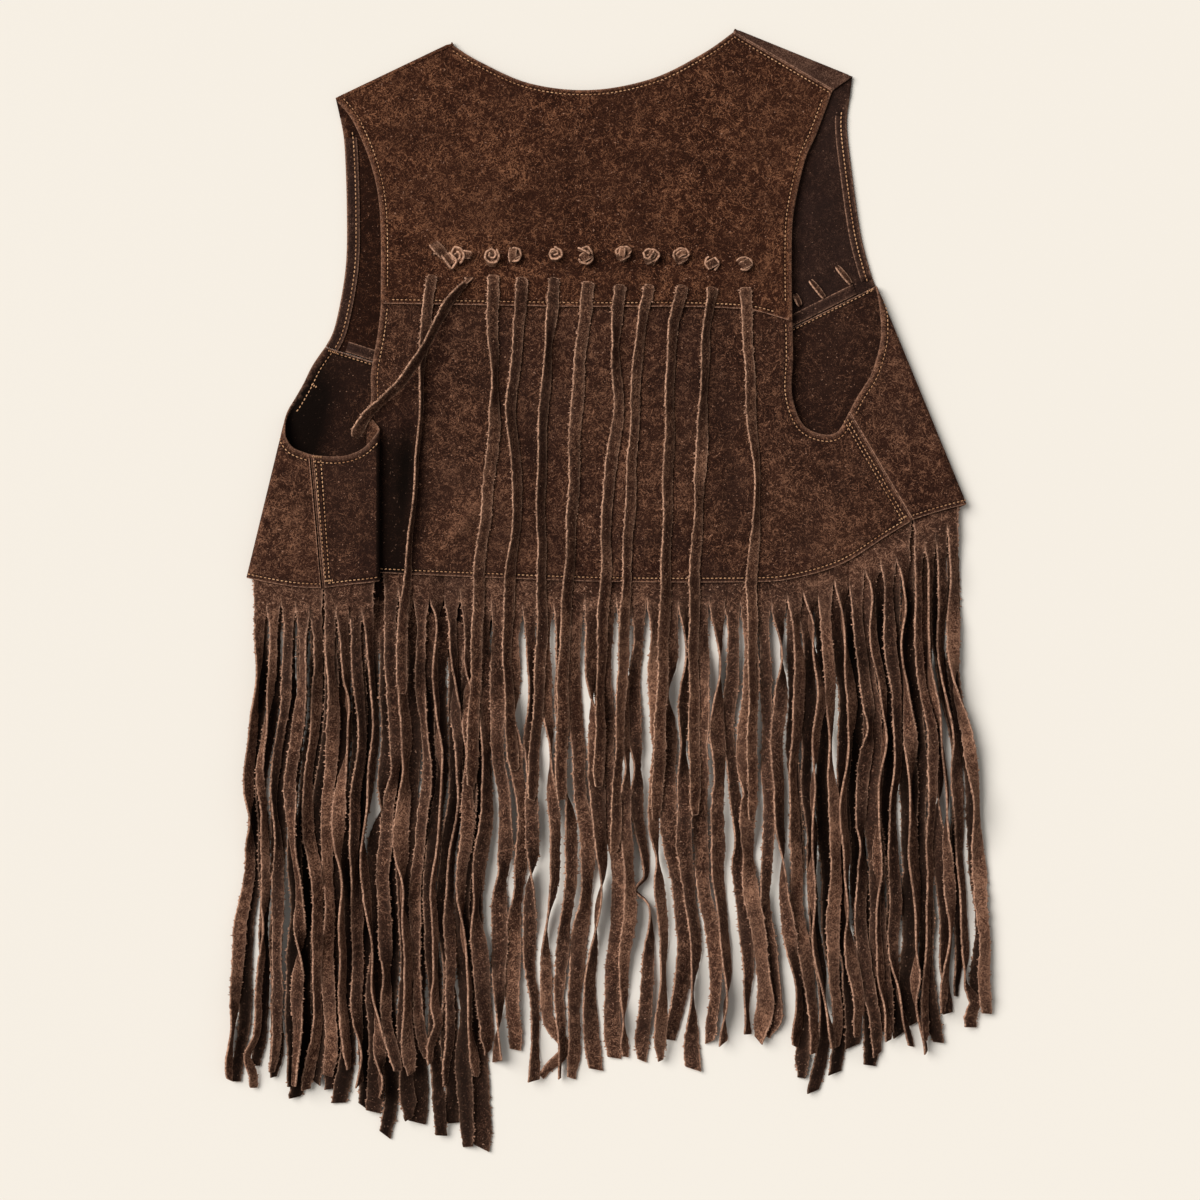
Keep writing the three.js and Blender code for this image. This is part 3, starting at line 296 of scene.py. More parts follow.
# Creases of the back: from x, y, to x, y, half width, height and how far the middle bends.
CREASES = [
    (-121, 32, -80, 78, 7, 0.75, 3),
    (-100, 96, -60, 116, 8, -0.5, -3),
    (-146, 40, -140, 165, 9, -0.7, 4),
    (-112, 168, -108, 96, 8, 0.45, -4),
    (-50, 28, -58, 150, 9, -0.4, 5),
    (12, 34, 22, 170, 8, 0.4, -4),
    (84, 30, 78, 160, 9, -0.45, 4),
    (112, 118, 128, 44, 9, 0.55, -5),
    (150, 100, 176, 60, 7, -0.5, 3),
    (160, 100, 190, 58, 5, 0.45, -2),
    (62, 46, 112, 30, 7, 0.4, 3),
    (-124, 300, -60, 250, 12, 0.45, 6),
    (-20, 338, 40, 262, 13, -0.4, -7),
    (96, 330, 120, 250, 11, 0.4, 5),
    (-60, 236, 20, 228, 9, -0.3, 3),
    (60, 224, 118, 216, 8, 0.3, -3),
]

CREASE_DEPTH = 1.8
UNEVEN_HEIGHT, FINE_HEIGHT = 0.14, 0.1


def unit(vectors):
    """Directions of length one."""
    return vectors / np.linalg.norm(vectors, axis=1)[:, None]


def inside(line, x, y):
    """How far inside a seam line a place lies."""
    (ax, ay), (bx, by) = line
    length = math.hypot(bx - ax, by - ay)
    return np.abs((x - ax) * (by - ay) - (y - ay) * (bx - ax)) / length


def from_shoulders(x, y):
    return np.minimum(inside(SHOULDER_SEAM_LEFT, x, y), inside(SHOULDER_SEAM_RIGHT, x, y))


def back_hem_y(x):
    """The height of the back's hem on y, over a place on x."""
    return height_at(BACK_HEM, np.clip(x, BACK_HEM[0][0], BACK_HEM[-1][0]))


def yoke_edge_y(x):
    """The height of the yoke's lower edge on y, over a place on x."""
    return height_at(YOKE_EDGE, np.clip(x, YOKE_EDGE[0][0], YOKE_EDGE[-1][0]))


def back_level(x, y):
    """The height of the middle of the back's cloth."""
    level = np.full(np.broadcast(x, y).shape, float(BACK_LEVEL))
    for cx, cy, along, across, angle, height in BILLOWS:
        c, s = math.cos(math.radians(angle)), math.sin(math.radians(angle))
        u = ((x - cx) * c + (y - cy) * s) / along
        v = ((y - cy) * c - (x - cx) * s) / across
        level = level + height * np.maximum(0, 1 - u * u - v * v) ** 2
    level = level + HEM_RISE * (1 - smooth(0, HEM_RISE_REACH, y - back_hem_y(x)))
    near = np.where(
        (x > 0) & (y < 250), 1 - smooth(0, SIDE_REACH, inside(SIDE_SEAM_RIGHT, x, y)), 0
    )
    level = mix(level, SIDE_LEVEL_RIGHT, near)
    return mix(SHOULDER_LEVEL, level, smooth(0, SHOULDER_REACH, from_shoulders(x, y)))


def yoke_level(x, y):
    """The yoke lies over the top edge of the back panel."""
    lap_top = height_at(YOKE_EDGE, x) + YOKE_LAP + 2
    return back_level(x, y) + LAP * (1 - smooth(0, LAP_SLOPE, y - lap_top))


def crease(x, y, row):
    """The height that one crease adds."""
    ax, ay, bx, by, width, height, bend = row
    run = np.array([bx - ax, by - ay])
    length = math.hypot(*run)
    t = ((x - ax) * run[0] + (y - ay) * run[1]) / length**2
    off = ((x - ax) * run[1] - (y - ay) * run[0]) / length - bend * 4 * t * (1 - t)
    ends = smooth(0, 0.35, t) * smooth(0, 0.35, 1 - t)
    return CREASE_DEPTH * height * np.maximum(0, 1 - (off / width) ** 2) ** 2 * ends


def swell(x, y):
    """The creases and small unevenness of the back's cloth."""
    total = sum(crease(x, y, row) for row in CREASES)
    uneven = np.sin(x / 8.3 + 1.7 * np.sin(y / 23)) * np.sin(y / 11.7 + x / 41)
    total = total + UNEVEN_HEIGHT * uneven
    total = total + FINE_HEIGHT * np.sin(x / 4.1 + y / 9.3) * np.sin(y / 5.9 - x / 17)
    calm = smooth(2, 26, from_shoulders(x, y))
    calm = calm * np.where(x > 60, smooth(0, 20, inside(SIDE_SEAM_RIGHT, x, y)), 1)
    return total * calm * smooth(-157, -146, x)


class Fold:
    """The pattern of a rolled piece: n is the distance across the roll, a that along it."""

    def __init__(self, start, end, outward, radius):
        self.start = np.array(start, float)
        self.along = np.array(end, float) - self.start
        self.along /= np.linalg.norm(self.along)
        self.out = np.array([-self.along[1], self.along[0]])
        if np.sign(self.out[0]) != np.sign(outward):
            self.out = -self.out
        self.radius = radius
        self.arc = math.pi * radius
        self.reach = radius + CLOTH / 2

    def pattern(self, points, top=False):
        offset = np.array(points, float) - self.start
        beyond = offset @ self.out + self.reach
        turned = self.radius * np.arcsin(np.clip(beyond / self.reach, 0, 1))
        low = np.where(beyond <= 0, beyond, turned)
        return np.c_[self.arc - low if top else low, offset @ self.along]

    def place(self, uv, side, lift):
        n, a = uv[:, 0], uv[:, 1]
        turn = np.clip(n / self.radius, 0, math.pi)
        past = np.maximum(n - self.arc, 0)
        across = np.where(n <= 0, n, (self.radius + side) * np.sin(turn) - past)
        z = FRONT_LEVEL + self.radius - (self.radius + side) * np.cos(turn)
        spot = self.start + a[:, None] * self.along + (across - self.reach)[:, None] * self.out
        rise = np.where(past > 0, lift(spot[:, 0], spot[:, 1]) * smooth(2, 26, past), 0)
        return np.c_[spot, z + rise]


def place_back_panel(uv, side):
    """The back panel's pattern runs from its right edge at x = -s, through the pleat."""
    s, y = uv[:, 0], uv[:, 1]
    side = np.broadcast_to(side, s.shape)
    x, z = -s, BACK_LEVEL + side
    turn = np.clip((s - VALLEY_START) / VALLEY_RADIUS, 0, math.pi)
    past = s > VALLEY_START
    x = np.where(past, VALLEY_X - (VALLEY_RADIUS - side) * np.sin(turn), x)
    z = np.where(
        past, BACK_LEVEL + VALLEY_RADIUS - (VALLEY_RADIUS - side) * np.cos(turn), z
    )
    x = np.where(s > VALLEY_END, VALLEY_X + (s - VALLEY_END), x)
    turn = np.clip((s - RIDGE_START) / RIDGE_RADIUS, 0, math.pi)
    past = s > RIDGE_START
    upper = BACK_LEVEL + 2 * VALLEY_RADIUS
    x = np.where(past, RIDGE_X + (RIDGE_RADIUS + side) * np.sin(turn), x)
    z = np.where(past, upper + RIDGE_RADIUS - (RIDGE_RADIUS + side) * np.cos(turn), z)
    fall = SIDE_LEVEL_LEFT - BACK_LEVEL - PLEAT_RISE
    z = z + np.where(s > RIDGE_END, fall * smooth(4, 40, s - RIDGE_END), 0)
    x = np.where(s > RIDGE_END, RIDGE_X - (s - RIDGE_END), x)
    return np.c_[x, y, z + back_level(x, y) - BACK_LEVEL]


def place_yoke(uv, side):
    """The yoke's pattern is its outline as it lies."""
    return np.c_[uv, yoke_level(uv[:, 0], uv[:, 1]) + side]


left_side = Fold(*LEFT_SIDE)
right_side = Fold(*RIGHT_SIDE)
left_shoulder = Fold(*LEFT_SHOULDER)
right_shoulder = Fold(*RIGHT_SHOULDER)


def lift_left(x, y):
    return back_level(x, y) - BACK_LEVEL


def lift_right(x, y):
    return back_level(x, y) - SIDE_LEVEL_RIGHT


def no_lift(x, y):
    return 0 * x


def rolled_level(fold, lift, x, y):
    """The height of the middle of a rolled piece, over a place."""
    flat = fold.pattern(np.array([[x, y]]), top=True)
    return float(fold.place(flat, 0, lift)[0, 2])


# Meshes


def finely(line, step, closed=True):
    """A line's points with more between them, none further apart than the step."""
    line = np.array(line, float)
    ends = np.roll(line, -1, 0) if closed else line[1:]
    out = []
    for a, b in zip(line, ends):
        parts = max(1, math.ceil(np.linalg.norm(b - a) / step))
        out += [mix(a, b, k / parts) for k in range(parts)]
    if not closed:
        out.append(line[-1])
    out = np.array(out)
    keep = np.linalg.norm(out - np.roll(out, 1, 0), axis=1) > 0.2
    return out[keep]


def within(points, loop):
    """Whether each point lies inside a closed line."""
    x, y = points[:, 0][:, None], points[:, 1][:, None]
    a, b = loop, np.roll(loop, -1, 0)
    crosses = (a[:, 1] > y) != (b[:, 1] > y)
    rise = np.where(b[:, 1] == a[:, 1], 1e-9, b[:, 1] - a[:, 1])
    at = a[:, 0] + (y - a[:, 1]) / rise * (b[:, 0] - a[:, 0])
    return (np.sum(crosses & (x < at), axis=1) % 2) == 1


def nearest(points, lines, closed=False):
    """The distance from each point to the nearest of some lines."""
    best = np.full(len(points), 1e6)
    for line in lines:
        line = np.array(line, float)
        a = line if closed else line[:-1]
        b = np.roll(line, -1, 0) if closed else line[1:]
        run = b - a
        size = np.maximum((run**2).sum(1), 1e-12)
        for first in range(0, len(points), 3000):
            part = points[first:first + 3000, None, :] - a
            t = np.clip((part * run).sum(2) / size, 0, 1)
            gap = np.linalg.norm(part - t[..., None] * run, axis=2).min(1)
            best[first:first + 3000] = np.minimum(best[first:first + 3000], gap)
    return best


def offset(line, distance):
    """An open line moved sideways, to the left of its run where distance is above zero."""
    line = np.array(line, float)
    run = unit(np.gradient(line, axis=0))
    return line + distance * np.c_[-run[:, 1], run[:, 0]]


def inset(line, distance, outline):
    """An open line moved to the inner side of an outline."""
    moved = offset(line, distance)
    middle = moved[len(moved) // 2][None]
    return moved if within(middle, np.array(outline))[0] else offset(line, -distance)


def cut(outline, slits, zones, rows):
    """Points and triangles that fill an outline, with slits left out. In the zones, which are
    bands of the first axis, the points stand closer."""
    loops = [finely(outline, EDGE_STEP)] + [finely(slit, SLIT_STEP) for slit in slits]
    ringed = []
    for loop in loops:
        run = np.roll(loop, -1, 0) - np.roll(loop, 1, 0)
        normal = np.c_[-run[:, 1], run[:, 0]] / np.linalg.norm(run, axis=1)[:, None]
        for depth in RINGS:
            for way in (-1, 1):
                ring = loop + way * depth * normal
                ringed.append(ring[nearest(ring, loops, closed=True) > 0.93 * depth])
    low, high = loops[0].min(0), loops[0].max(0)
    levels = np.arange(low[1], high[1], PANEL_STEP * 0.87)
    grid = []
    for k, v in enumerate(levels):
        u = np.arange(low[0] + (k % 2) * PANEL_STEP / 2, high[0], PANEL_STEP)
        for start, end in zones:
            u = u[(u < start) | (u > end)]
            u = np.r_[u, np.arange(start, end, FINE_STEP)]
        grid.append(np.c_[u, np.full(len(u), v)])
    grid = np.concatenate(grid)
    room = RINGS[-1] + 0.5 * PANEL_STEP
    grid = grid[nearest(grid, loops, closed=True) > room]
    beside_rows = []
    if rows:
        grid = grid[nearest(grid, rows) > ROW_OFFSETS[-1] + 0.8]
        for row in rows:
            flat, _ = resampled(np.array(row, float), ROW_STEP)
            beside_rows += [offset(flat, gap) for gap in ROW_OFFSETS]
        beside_rows = [row[nearest(row, loops, closed=True) > 0.95] for row in beside_rows]
    extra = np.concatenate([*ringed, *beside_rows, grid])
    fits = within(extra, loops[0])
    for loop in loops[1:]:
        fits &= ~within(extra, loop)
    extra = extra[fits]
    _, first = np.unique(np.round(extra / 0.24), axis=0, return_index=True)
    points = np.concatenate([*loops, extra[np.sort(first)]])
    edges, start = [], 0
    for loop in loops:
        n = len(loop)
        edges += [(start + i, start + (i + 1) % n) for i in range(n)]
        start += n
    face = list(range(len(loops[0])))
    made = delaunay_2d_cdt([Vector(p) for p in points.tolist()], edges, [face], 1, 1e-7, False)
    points = np.array([tuple(v) for v in made[0]])
    triangles = np.array([f for f in made[2] if len(f) == 3])
    centres = points[triangles].mean(1)
    keep = within(centres, loops[0])
    for loop in loops[1:]:
        keep &= ~within(centres, loop)
    triangles = triangles[keep]
    used, index = np.unique(triangles, return_inverse=True)
    return points[used], index.reshape(-1, 3), loops


def rounded(distance, radius, least):
    """The share of the thickness that is left at a distance from a rounded rim."""
    t = np.clip(distance / radius, 0, 1)
    return least + (1 - least) * np.sqrt(1 - (1 - t) ** 2)


def closed_up(triangles, count):
    """The triangles of both faces of a sheet and of its rim."""
    pairs = np.concatenate([triangles[:, [0, 1]], triangles[:, [1, 2]], triangles[:, [2, 0]]])
    key = np.sort(pairs, axis=1)
    _, inverse, uses = np.unique(key, axis=0, return_inverse=True, return_counts=True)
    rim = pairs[uses[inverse.ravel()] == 1]
    a, b = rim[:, 0], rim[:, 1]
    return np.concatenate([
        triangles,
        triangles[:, [0, 2, 1]] + count,
        np.c_[a, a + count, b + count],
        np.c_[a, b + count, b],
    ])


def outward(points, triangles):
    """The triangles of a closed mesh, all facing out of it."""
    a, b, c = (points[triangles[:, k]] for k in range(3))
    return triangles if (a * np.cross(b, c)).sum() > 0 else triangles[:, [0, 2, 1]]


class Panel:
    """A cut sheet of suede with its place, its edges and what raises its faces.

    raise_faces(x, y, uv) gives how far the cloth, its outer and its inner face are moved."""

    def __init__(self, outline, place, turned, raw, raise_faces, slits=(), zones=(), rows=(),
                 inner_tone=PLAIN_TONE, shade=None, inner_shade=None):
        self.place = place
        self.raise_faces = raise_faces
        self.outline = np.array(outline, float)
        uv, triangles, loops = cut(outline, slits, zones, list(rows))
        d_turned, d_raw = nearest(uv, turned), nearest(uv, raw)
        d_slit = nearest(uv, loops[1:], closed=True)
        edge = np.minimum(
            rounded(d_turned, TURNED_RADIUS, TURNED_SHARE), rounded(d_raw, RAW_RADIUS, RAW_SHARE)
        )
        both, outer, inner = self.raised(uv)
        thick = CLOTH / 2 * edge
        worn = 1 - smooth(0.1, 1.5, d_turned)
        bare = 1 - smooth(0.25, 0.95, d_raw)
        slit = 1 - smooth(0.1, 0.7, d_slit)
        pale = np.clip(FOLDED_PALE * worn + RAW_PALE * bare + SLIT_PALE * slit, 0, 1)
        self.points = np.concatenate([
            place(uv, both + thick + outer * edge),
            place(uv, both - thick - inner * edge),
        ])
        self.pale = np.concatenate([pale, pale])
        sewn = nearest(uv, rows) if len(rows) else np.full(len(uv), 99.0)
        tone = PLAIN_TONE + HEMMED_TONE * (1 - smooth(ARMHOLE_SEAM - 1, ARMHOLE_SEAM, d_turned))
        tone = tone - ROW_DARK * hump(sewn, ROW_DARK_WIDTH) - ROW_SHADE * hump(sewn, ROW_SHADE_WIDTH)
        flat = self.place(uv, np.zeros(len(uv)))
        outer_shade, under_shade = (f(uv, flat) if f else 0 for f in (shade, inner_shade))
        # The inner tone, where below plain, paints shade on the whole inner face, as on the fronts
        # seen through the armholes.
        inner = tone + inner_tone - PLAIN_TONE
        self.tone = np.concatenate([tone + outer_shade, inner + under_shade])
        self.triangles = outward(self.points, closed_up(triangles, len(uv)))

    def raised(self, uv):
        flat = self.place(uv, np.zeros(len(uv)))
        return self.raise_faces(flat[:, 0], flat[:, 1], uv)

    def on_face(self, uv, outer, above):
        """Places just above a face, and the directions out of it."""
        both, plus, minus = self.raised(uv)
        side = both + CLOTH / 2 + plus if outer else both - CLOTH / 2 - minus
        way = 1 if outer else -1
        at = self.place(uv, side + way * above)
        out = self.place(uv, side + way * (above + 0.5)) - at
        along = [
            self.place(uv + step, side) - self.place(uv - step, side)
            for step in (np.array([0.05, 0]), np.array([0, 0.05]))
        ]
        normal = np.cross(*along)
        normal *= np.sign((normal * out).sum(1))[:, None]
        return at, unit(normal)

    def area(self):
        """The area of the cut, in square millimetres."""
        p = self.outline
        q = np.roll(p, -1, 0)
        return abs((p[:, 0] * q[:, 1] - q[:, 0] * p[:, 1]).sum()) / 2


class Gathered:
    """Meshes put together into one, with what their points carry."""

    def __init__(self):
        self.points, self.triangles, self.pale, self.tone, self.count = [], [], [], [], 0

    def add(self, points, triangles, pale=0.0, tone=0.5):
        self.points.append(points)
        self.triangles.append(triangles + self.count)
        self.pale.append(np.broadcast_to(pale, len(points)))
        self.tone.append(np.broadcast_to(tone, len(points)))
        self.count += len(points)
        return self

    def make(self, name, material):
        points = np.concatenate(self.points)
        points[:, 2] = np.maximum(points[:, 2], 0.05)
        points = (points - MIDDLE) * MM
        mesh = bpy.data.meshes.new(name)
        mesh.from_pydata(points.tolist(), [], np.concatenate(self.triangles).tolist())
        for key, values in (("pale", self.pale), ("tone", self.tone)):
            layer = mesh.attributes.new(key, "FLOAT", "POINT")
            layer.data.foreach_set("value", np.concatenate(values).astype(np.float32))
        mesh.polygons.foreach_set("use_smooth", np.ones(len(mesh.polygons), bool))
        mesh.materials.append(material)
        mesh.update()
        made = bpy.data.objects.new(name, mesh)
        bpy.context.scene.collection.objects.link(made)
        return made


# A strip's section: share of the half width, millimetres inward, share of the thickness and
# how pale the suede is there.
SECTION = np.array([
    (-1, 0.0, 0.24, 1), (-1, 0.34, 0.5, 1), (-1, 0.9, 0.5, 0.15), (-0.35, 0, 0.5, 0),
    (0.35, 0, 0.5, 0), (1, -0.9, 0.5, 0.15), (1, -0.34, 0.5, 1), (1, 0.0, 0.24, 1),
    (1, 0.0, -0.24, 1), (1, -0.34, -0.5, 1), (1, -0.9, -0.5, 0.15), (0.35, 0, -0.5, 0),
    (-0.35, 0, -0.5, 0), (-1, 0.9, -0.5, 0.15), (-1, 0.34, -0.5, 1), (-1, 0.0, -0.24, 1),
])


def ribbon(at, across, normal, left, right, thick, open_left=1.0, open_right=1.0, cup=0.0,
           bare=1.0):
    """A strip of suede through places, with its two half widths at each place. Where it isn't
    open, its edge is square and dark, as where it joins its neighbour."""
    n = len(at)
    left, right, thick, open_left, open_right, cup = (
        np.broadcast_to(v, n).astype(float)
        for v in (left, right, thick, open_left, open_right, cup)
    )
    share, inward, up, pale = SECTION.T
    width = np.where(share < 0, left[:, None], right[:, None])
    opened = np.where(share < 0, open_left[:, None], open_right[:, None])
    corner = np.abs(up) < 0.4
    level = np.where(corner, mix(0.5 * np.sign(up), up, opened), up)
    x = share * width + inward * np.minimum(1, width)
    bow = cup[:, None] * ((x / np.maximum(width, 0.1)) ** 2 - 0.3)
    height = level * thick[:, None] + bow
    points = (
        at[:, None, :] + x[..., None] * across[:, None, :] + height[..., None] * normal[:, None, :]
    ).reshape(-1, 3)
    m = len(SECTION)
    i, k = np.meshgrid(np.arange(n - 1), np.arange(m), indexing="ij")
    a, b = (i * m + k).ravel(), (i * m + (k + 1) % m).ravel()
    fan = np.array([(0, j, j + 1) for j in range(1, m - 1)])
    end = fan[:, [0, 2, 1]] + (n - 1) * m
    triangles = np.concatenate([
        np.c_[a, b, b + m], np.c_[a, b + m, a + m], fan[:, [0, 2, 1]], end[:, [0, 2, 1]],
    ])
    bare = np.broadcast_to(bare, n)[:, None]
    return points, outward(points - points.mean(0), triangles), (bare * pale * opened).ravel()


def frames(at, turn):
    """The directions across a run and out of it, turned about the run."""
    run = unit(np.gradient(at, axis=0))
    across = unit(np.cross(UP, run))
    normal = np.cross(run, across)
    c, s = np.cos(turn)[:, None], np.sin(turn)[:, None]
    return across * c + normal * s, normal * c - across * s


def resampled(at, step):
    """Points of a line at an even step, and how far along each is."""
    size = np.linalg.norm(np.diff(at, axis=0), axis=1)
    run = np.r_[0, np.cumsum(size)]
    count = max(2, int(round(run[-1] / step)) + 1)
    t = np.linspace(0, run[-1], count)
    return np.c_[tuple(np.interp(t, run, at[:, k]) for k in range(at.shape[1]))], t


# Materials


def colour(r, g, b):
    """A colour given as it shows on a screen, from 0 to 255, in linear light."""
    parts = [v / 255 for v in (r, g, b)]
    return (*(v / 12.92 if v < 0.04045 else ((v + 0.055) / 1.055) ** 2.4 for v in parts), 1)


class Nodes:
    """Short ways to build a material."""

    def __init__(self, name):
        self.material = bpy.data.materials.new(name)
        self.material.use_nodes = True
        self.tree = self.material.node_tree
        self.shader = self.tree.nodes["Principled BSDF"]
        self.place = self.tree.nodes.new("ShaderNodeTexCoord").outputs["Object"]

    def node(self, kind, inputs=None, **settings):
        made = self.tree.nodes.new(kind)
        for key, value in settings.items():
            setattr(made, key, value)
        for key, value in (inputs or {}).items():
            self.put(value, made.inputs[key])
        return made

    def put(self, value, socket):
        if isinstance(value, bpy.types.NodeSocket):
            self.tree.links.new(value, socket)
        else:
            socket.default_value = value

    def noise(self, scale, detail, roughness=0.55, distortion=0.0, place=None):
        made = self.node("ShaderNodeTexNoise", {
            "Vector": place or self.place, "Scale": scale, "Detail": detail,
            "Roughness": roughness, "Distortion": distortion,
        })
        return made.outputs["Fac"]

    def range(self, value, low, high, start=0.0, end=1.0):
        made = self.node("ShaderNodeMapRange", {
            "Value": value, "From Min": low, "From Max": high, "To Min": start, "To Max": end,
        }, clamp=True)
        return made.outputs["Result"]

    def math(self, kind, a, b=0.0):
        made = self.node("ShaderNodeMath", operation=kind)
        self.put(a, made.inputs[0])
        self.put(b, made.inputs[1])
        return made.outputs[0]

    def times(self, a, b):
        return self.math("MULTIPLY", a, b)

    def plus(self, a, b):
        return self.math("ADD", a, b)

    def blend(self, share, a, b):
        made = self.node("ShaderNodeMix", data_type="RGBA", blend_type="MIX")
        self.put(share, made.inputs[0])
        self.put(a, made.inputs[6])
        self.put(b, made.inputs[7])
        return made.outputs[2]

    def attribute(self, name):
        return self.node("ShaderNodeAttribute", attribute_name=name).outputs["Fac"]

    def shifted(self, x, y, angle=0.0, along=1.0, across=1.0):
        """Places moved, turned about the upright axis and stretched."""
        turned = self.node("ShaderNodeMapping", {
            "Vector": self.place, "Location": (x, y, 0),
            "Rotation": (0, 0, math.radians(angle)),
        })
        made = self.node("ShaderNodeMapping", {
            "Vector": turned.outputs[0], "Scale": (along, across, across),
        })
        return made.outputs[0]

    def sum(self, *terms):
        """The sum of values, each with its weight, and of plain numbers."""
        total = None
        for term in terms:
            part = self.times(*term) if isinstance(term, tuple) else term
            total = part if total is None else self.plus(total, part)
        return total

    def surface(self, tone, roughness, specular, relief=None, strength=0.0, depth=0.0):
        """Joins a colour and a relief to the shader."""
        self.put(tone, self.shader.inputs["Base Color"])
        self.shader.inputs["Roughness"].default_value = roughness
        self.shader.inputs["Specular IOR Level"].default_value = specular
        if relief is not None:
            bump = self.node("ShaderNodeBump", {
                "Height": relief, "Strength": strength, "Distance": depth,
            })
            self.put(bump.outputs[0], self.shader.inputs["Normal"])
        return self.material

    def curls(self, scale, width, shift):
        """Thin curling lines, such as single fibres that lie on the nap."""
        value = self.noise(scale, 1, 0.4, 1.3, self.shifted(*shift))
        off = self.math("ABSOLUTE", self.plus(value, -0.5))
        return self.range(off, width, 0.3 * width)


# Fibres that lie on the nap. The straight ones: angle in degrees and shift. The curled ones:
# scale, half width of the line in the noise, and shift.
STRAIGHT_FIBRES = ((12, 0.1), (48, 0.4), (84, 0.7), (118, 0.9), (152, 1.3))
FIBRE_ALONG, FIBRE_ACROSS = 230, 940
CURLED_FIBRES = ((240, 0.034, 0.2), (340, 0.042, 0.5))

# Sizes of the suede's mottling, in waves a metre, and how much each counts in its tone.
BROAD_SCALE, MIDDLE_SCALE, SMALL_SCALE, GRAIN_SCALE = 10, 58, 270, 1150
BROAD_SHARE, MIDDLE_SHARE, SMALL_SHARE, GRAIN_SHARE = 0.17, 0.2, 0.1, 0.42
FIBRE_SHARE, OWN_SHARE, TONE_SHIFT = 0.8, 0.55, -0.085
COOL_SCALE, COOL_SHARE = 23, 0.35
FLECK_SCALE, FLECK_SHARE = 640, 0.55
DEEP_SHADE = colour(7, 4, 2)
SUEDE_ROUGHNESS, SUEDE_SPECULAR = 0.95, 0.07
SHEEN, SHEEN_ROUGHNESS = 0.035, 0.5
RELIEF_STRENGTH, RELIEF_DEPTH = 0.9, 0.0008


def fibres_of(n):
    """Light fibres that lie in many directions, in patches."""
    fibres = None
    for k, (angle, shift) in enumerate(STRAIGHT_FIBRES):
        place = n.shifted(shift, -shift, angle, FIBRE_ALONG, FIBRE_ACROSS)
        strands = n.noise(1.0, 2, 0.5, 0.9, place)
        patch = n.range(n.noise(85 + 14 * k, 2, 0.5, 0.6), 0.36, 0.6, 0.25, 1.0)
        lit = n.times(n.range(strands, 0.585, 0.69), patch)
        fibres = lit if fibres is None else n.math("MAXIMUM", fibres, lit)
    for k, (scale, width, shift) in enumerate(CURLED_FIBRES):
        patch = n.range(n.noise(130 + 25 * k, 2, 0.5, 0.4), 0.5, 0.6)
        fibres = n.math("MAXIMUM", fibres, n.times(n.curls(scale, width, (shift, shift)), patch))
    return fibres


def suede(name, dark, main, light, cool, edge, nap=1.0):
    """Napped suede with pale cut edges. The colours are given from 0 to 255."""
    dark, main, light, cool, edge = (colour(*tone) for tone in (dark, main, light, cool, edge))
    n = Nodes(name)
    broad = n.range(n.noise(BROAD_SCALE, 3, 0.5, 0.4), 0.36, 0.64)
    middle = n.range(n.noise(MIDDLE_SCALE, 4, 0.6, 0.8), 0.36, 0.66)
    small = n.noise(SMALL_SCALE, 3, 0.6, 0.6)
    grain = n.noise(GRAIN_SCALE, 3, 0.65)
    own = n.attribute("tone")
    value = n.sum(
        (n.range(grain, 0.36, 0.64), GRAIN_SHARE), (n.range(small, 0.36, 0.64), SMALL_SHARE),
        (middle, MIDDLE_SHARE), (broad, BROAD_SHARE), (n.plus(own, -0.5), OWN_SHARE),
        (fibres_of(n), FIBRE_SHARE * nap), TONE_SHIFT,
    )
    tone = n.blend(n.range(value, 0.14, 0.56), dark, main)
    tone = n.blend(n.range(value, 0.58, 1.14), tone, light)
    cooler = n.range(n.noise(COOL_SCALE, 3, 0.5, 0.3), 0.45, 0.62)
    tone = n.blend(n.times(cooler, COOL_SHARE), tone, cool)
    # Where the tone attribute is below plain, as in painted shade and at the stitch holes, the colour
    # turns cooler and further down goes towards DEEP_SHADE, a painted deep shade.
    tone = n.blend(n.range(own, 0.5, 0.25, 0.0, 0.3), tone, cool)
    fleck = n.range(n.noise(FLECK_SCALE, 1, 0.3, 0, n.shifted(0.3, 0.8)), 0.73, 0.77)
    tone = n.blend(n.times(fleck, FLECK_SHARE * nap), tone, edge)
    tone = n.blend(n.range(own, 0.02, -0.6, 0.0, 0.85), tone, DEEP_SHADE)
    ragged = n.sum((n.range(n.noise(FLECK_SCALE, 3, 0.7), 0.38, 0.6), 0.95), 0.15)
    pale = n.math("MINIMUM", n.times(n.attribute("pale"), ragged), 1.0)
    tone = n.blend(pale, tone, edge)
    n.shader.inputs["Sheen Weight"].default_value = SHEEN
    n.shader.inputs["Sheen Roughness"].default_value = SHEEN_ROUGHNESS
    n.shader.inputs["Sheen Tint"].default_value = light
    relief = n.sum((grain, 0.5), (small, 0.5), (middle, 0.4))
    return n.surface(
        tone, SUEDE_ROUGHNESS, SUEDE_SPECULAR, relief, RELIEF_STRENGTH, RELIEF_DEPTH
    )


def thread_material():
    """Tan thread, twisted, and worn in places."""
    n = Nodes("thread")
    twist = n.range(n.noise(900, 2), 0.35, 0.65)
    worn = n.range(n.noise(40, 3, 0.6), 0.35, 0.65)
    tone = n.blend(worn, colour(156, 108, 72), colour(222, 172, 128))
    tone = n.blend(n.times(twist, 0.3), tone, colour(120, 80, 54))
    return n.surface(tone, 0.7, 0.3, twist, 0.4, 0.0002)


FLOOR_TONE = (0.85, 0.805, 0.737, 1)
FLOOR_TONE_LIGHT = (0.858, 0.813, 0.745, 1)


def floor_material():
    """The pale, even surface."""
    n = Nodes("floor")
    soft = n.range(n.noise(0.8, 2), 0.3, 0.7)
    return n.surface(n.blend(soft, FLOOR_TONE, FLOOR_TONE_LIGHT), 0.95, 0.1)


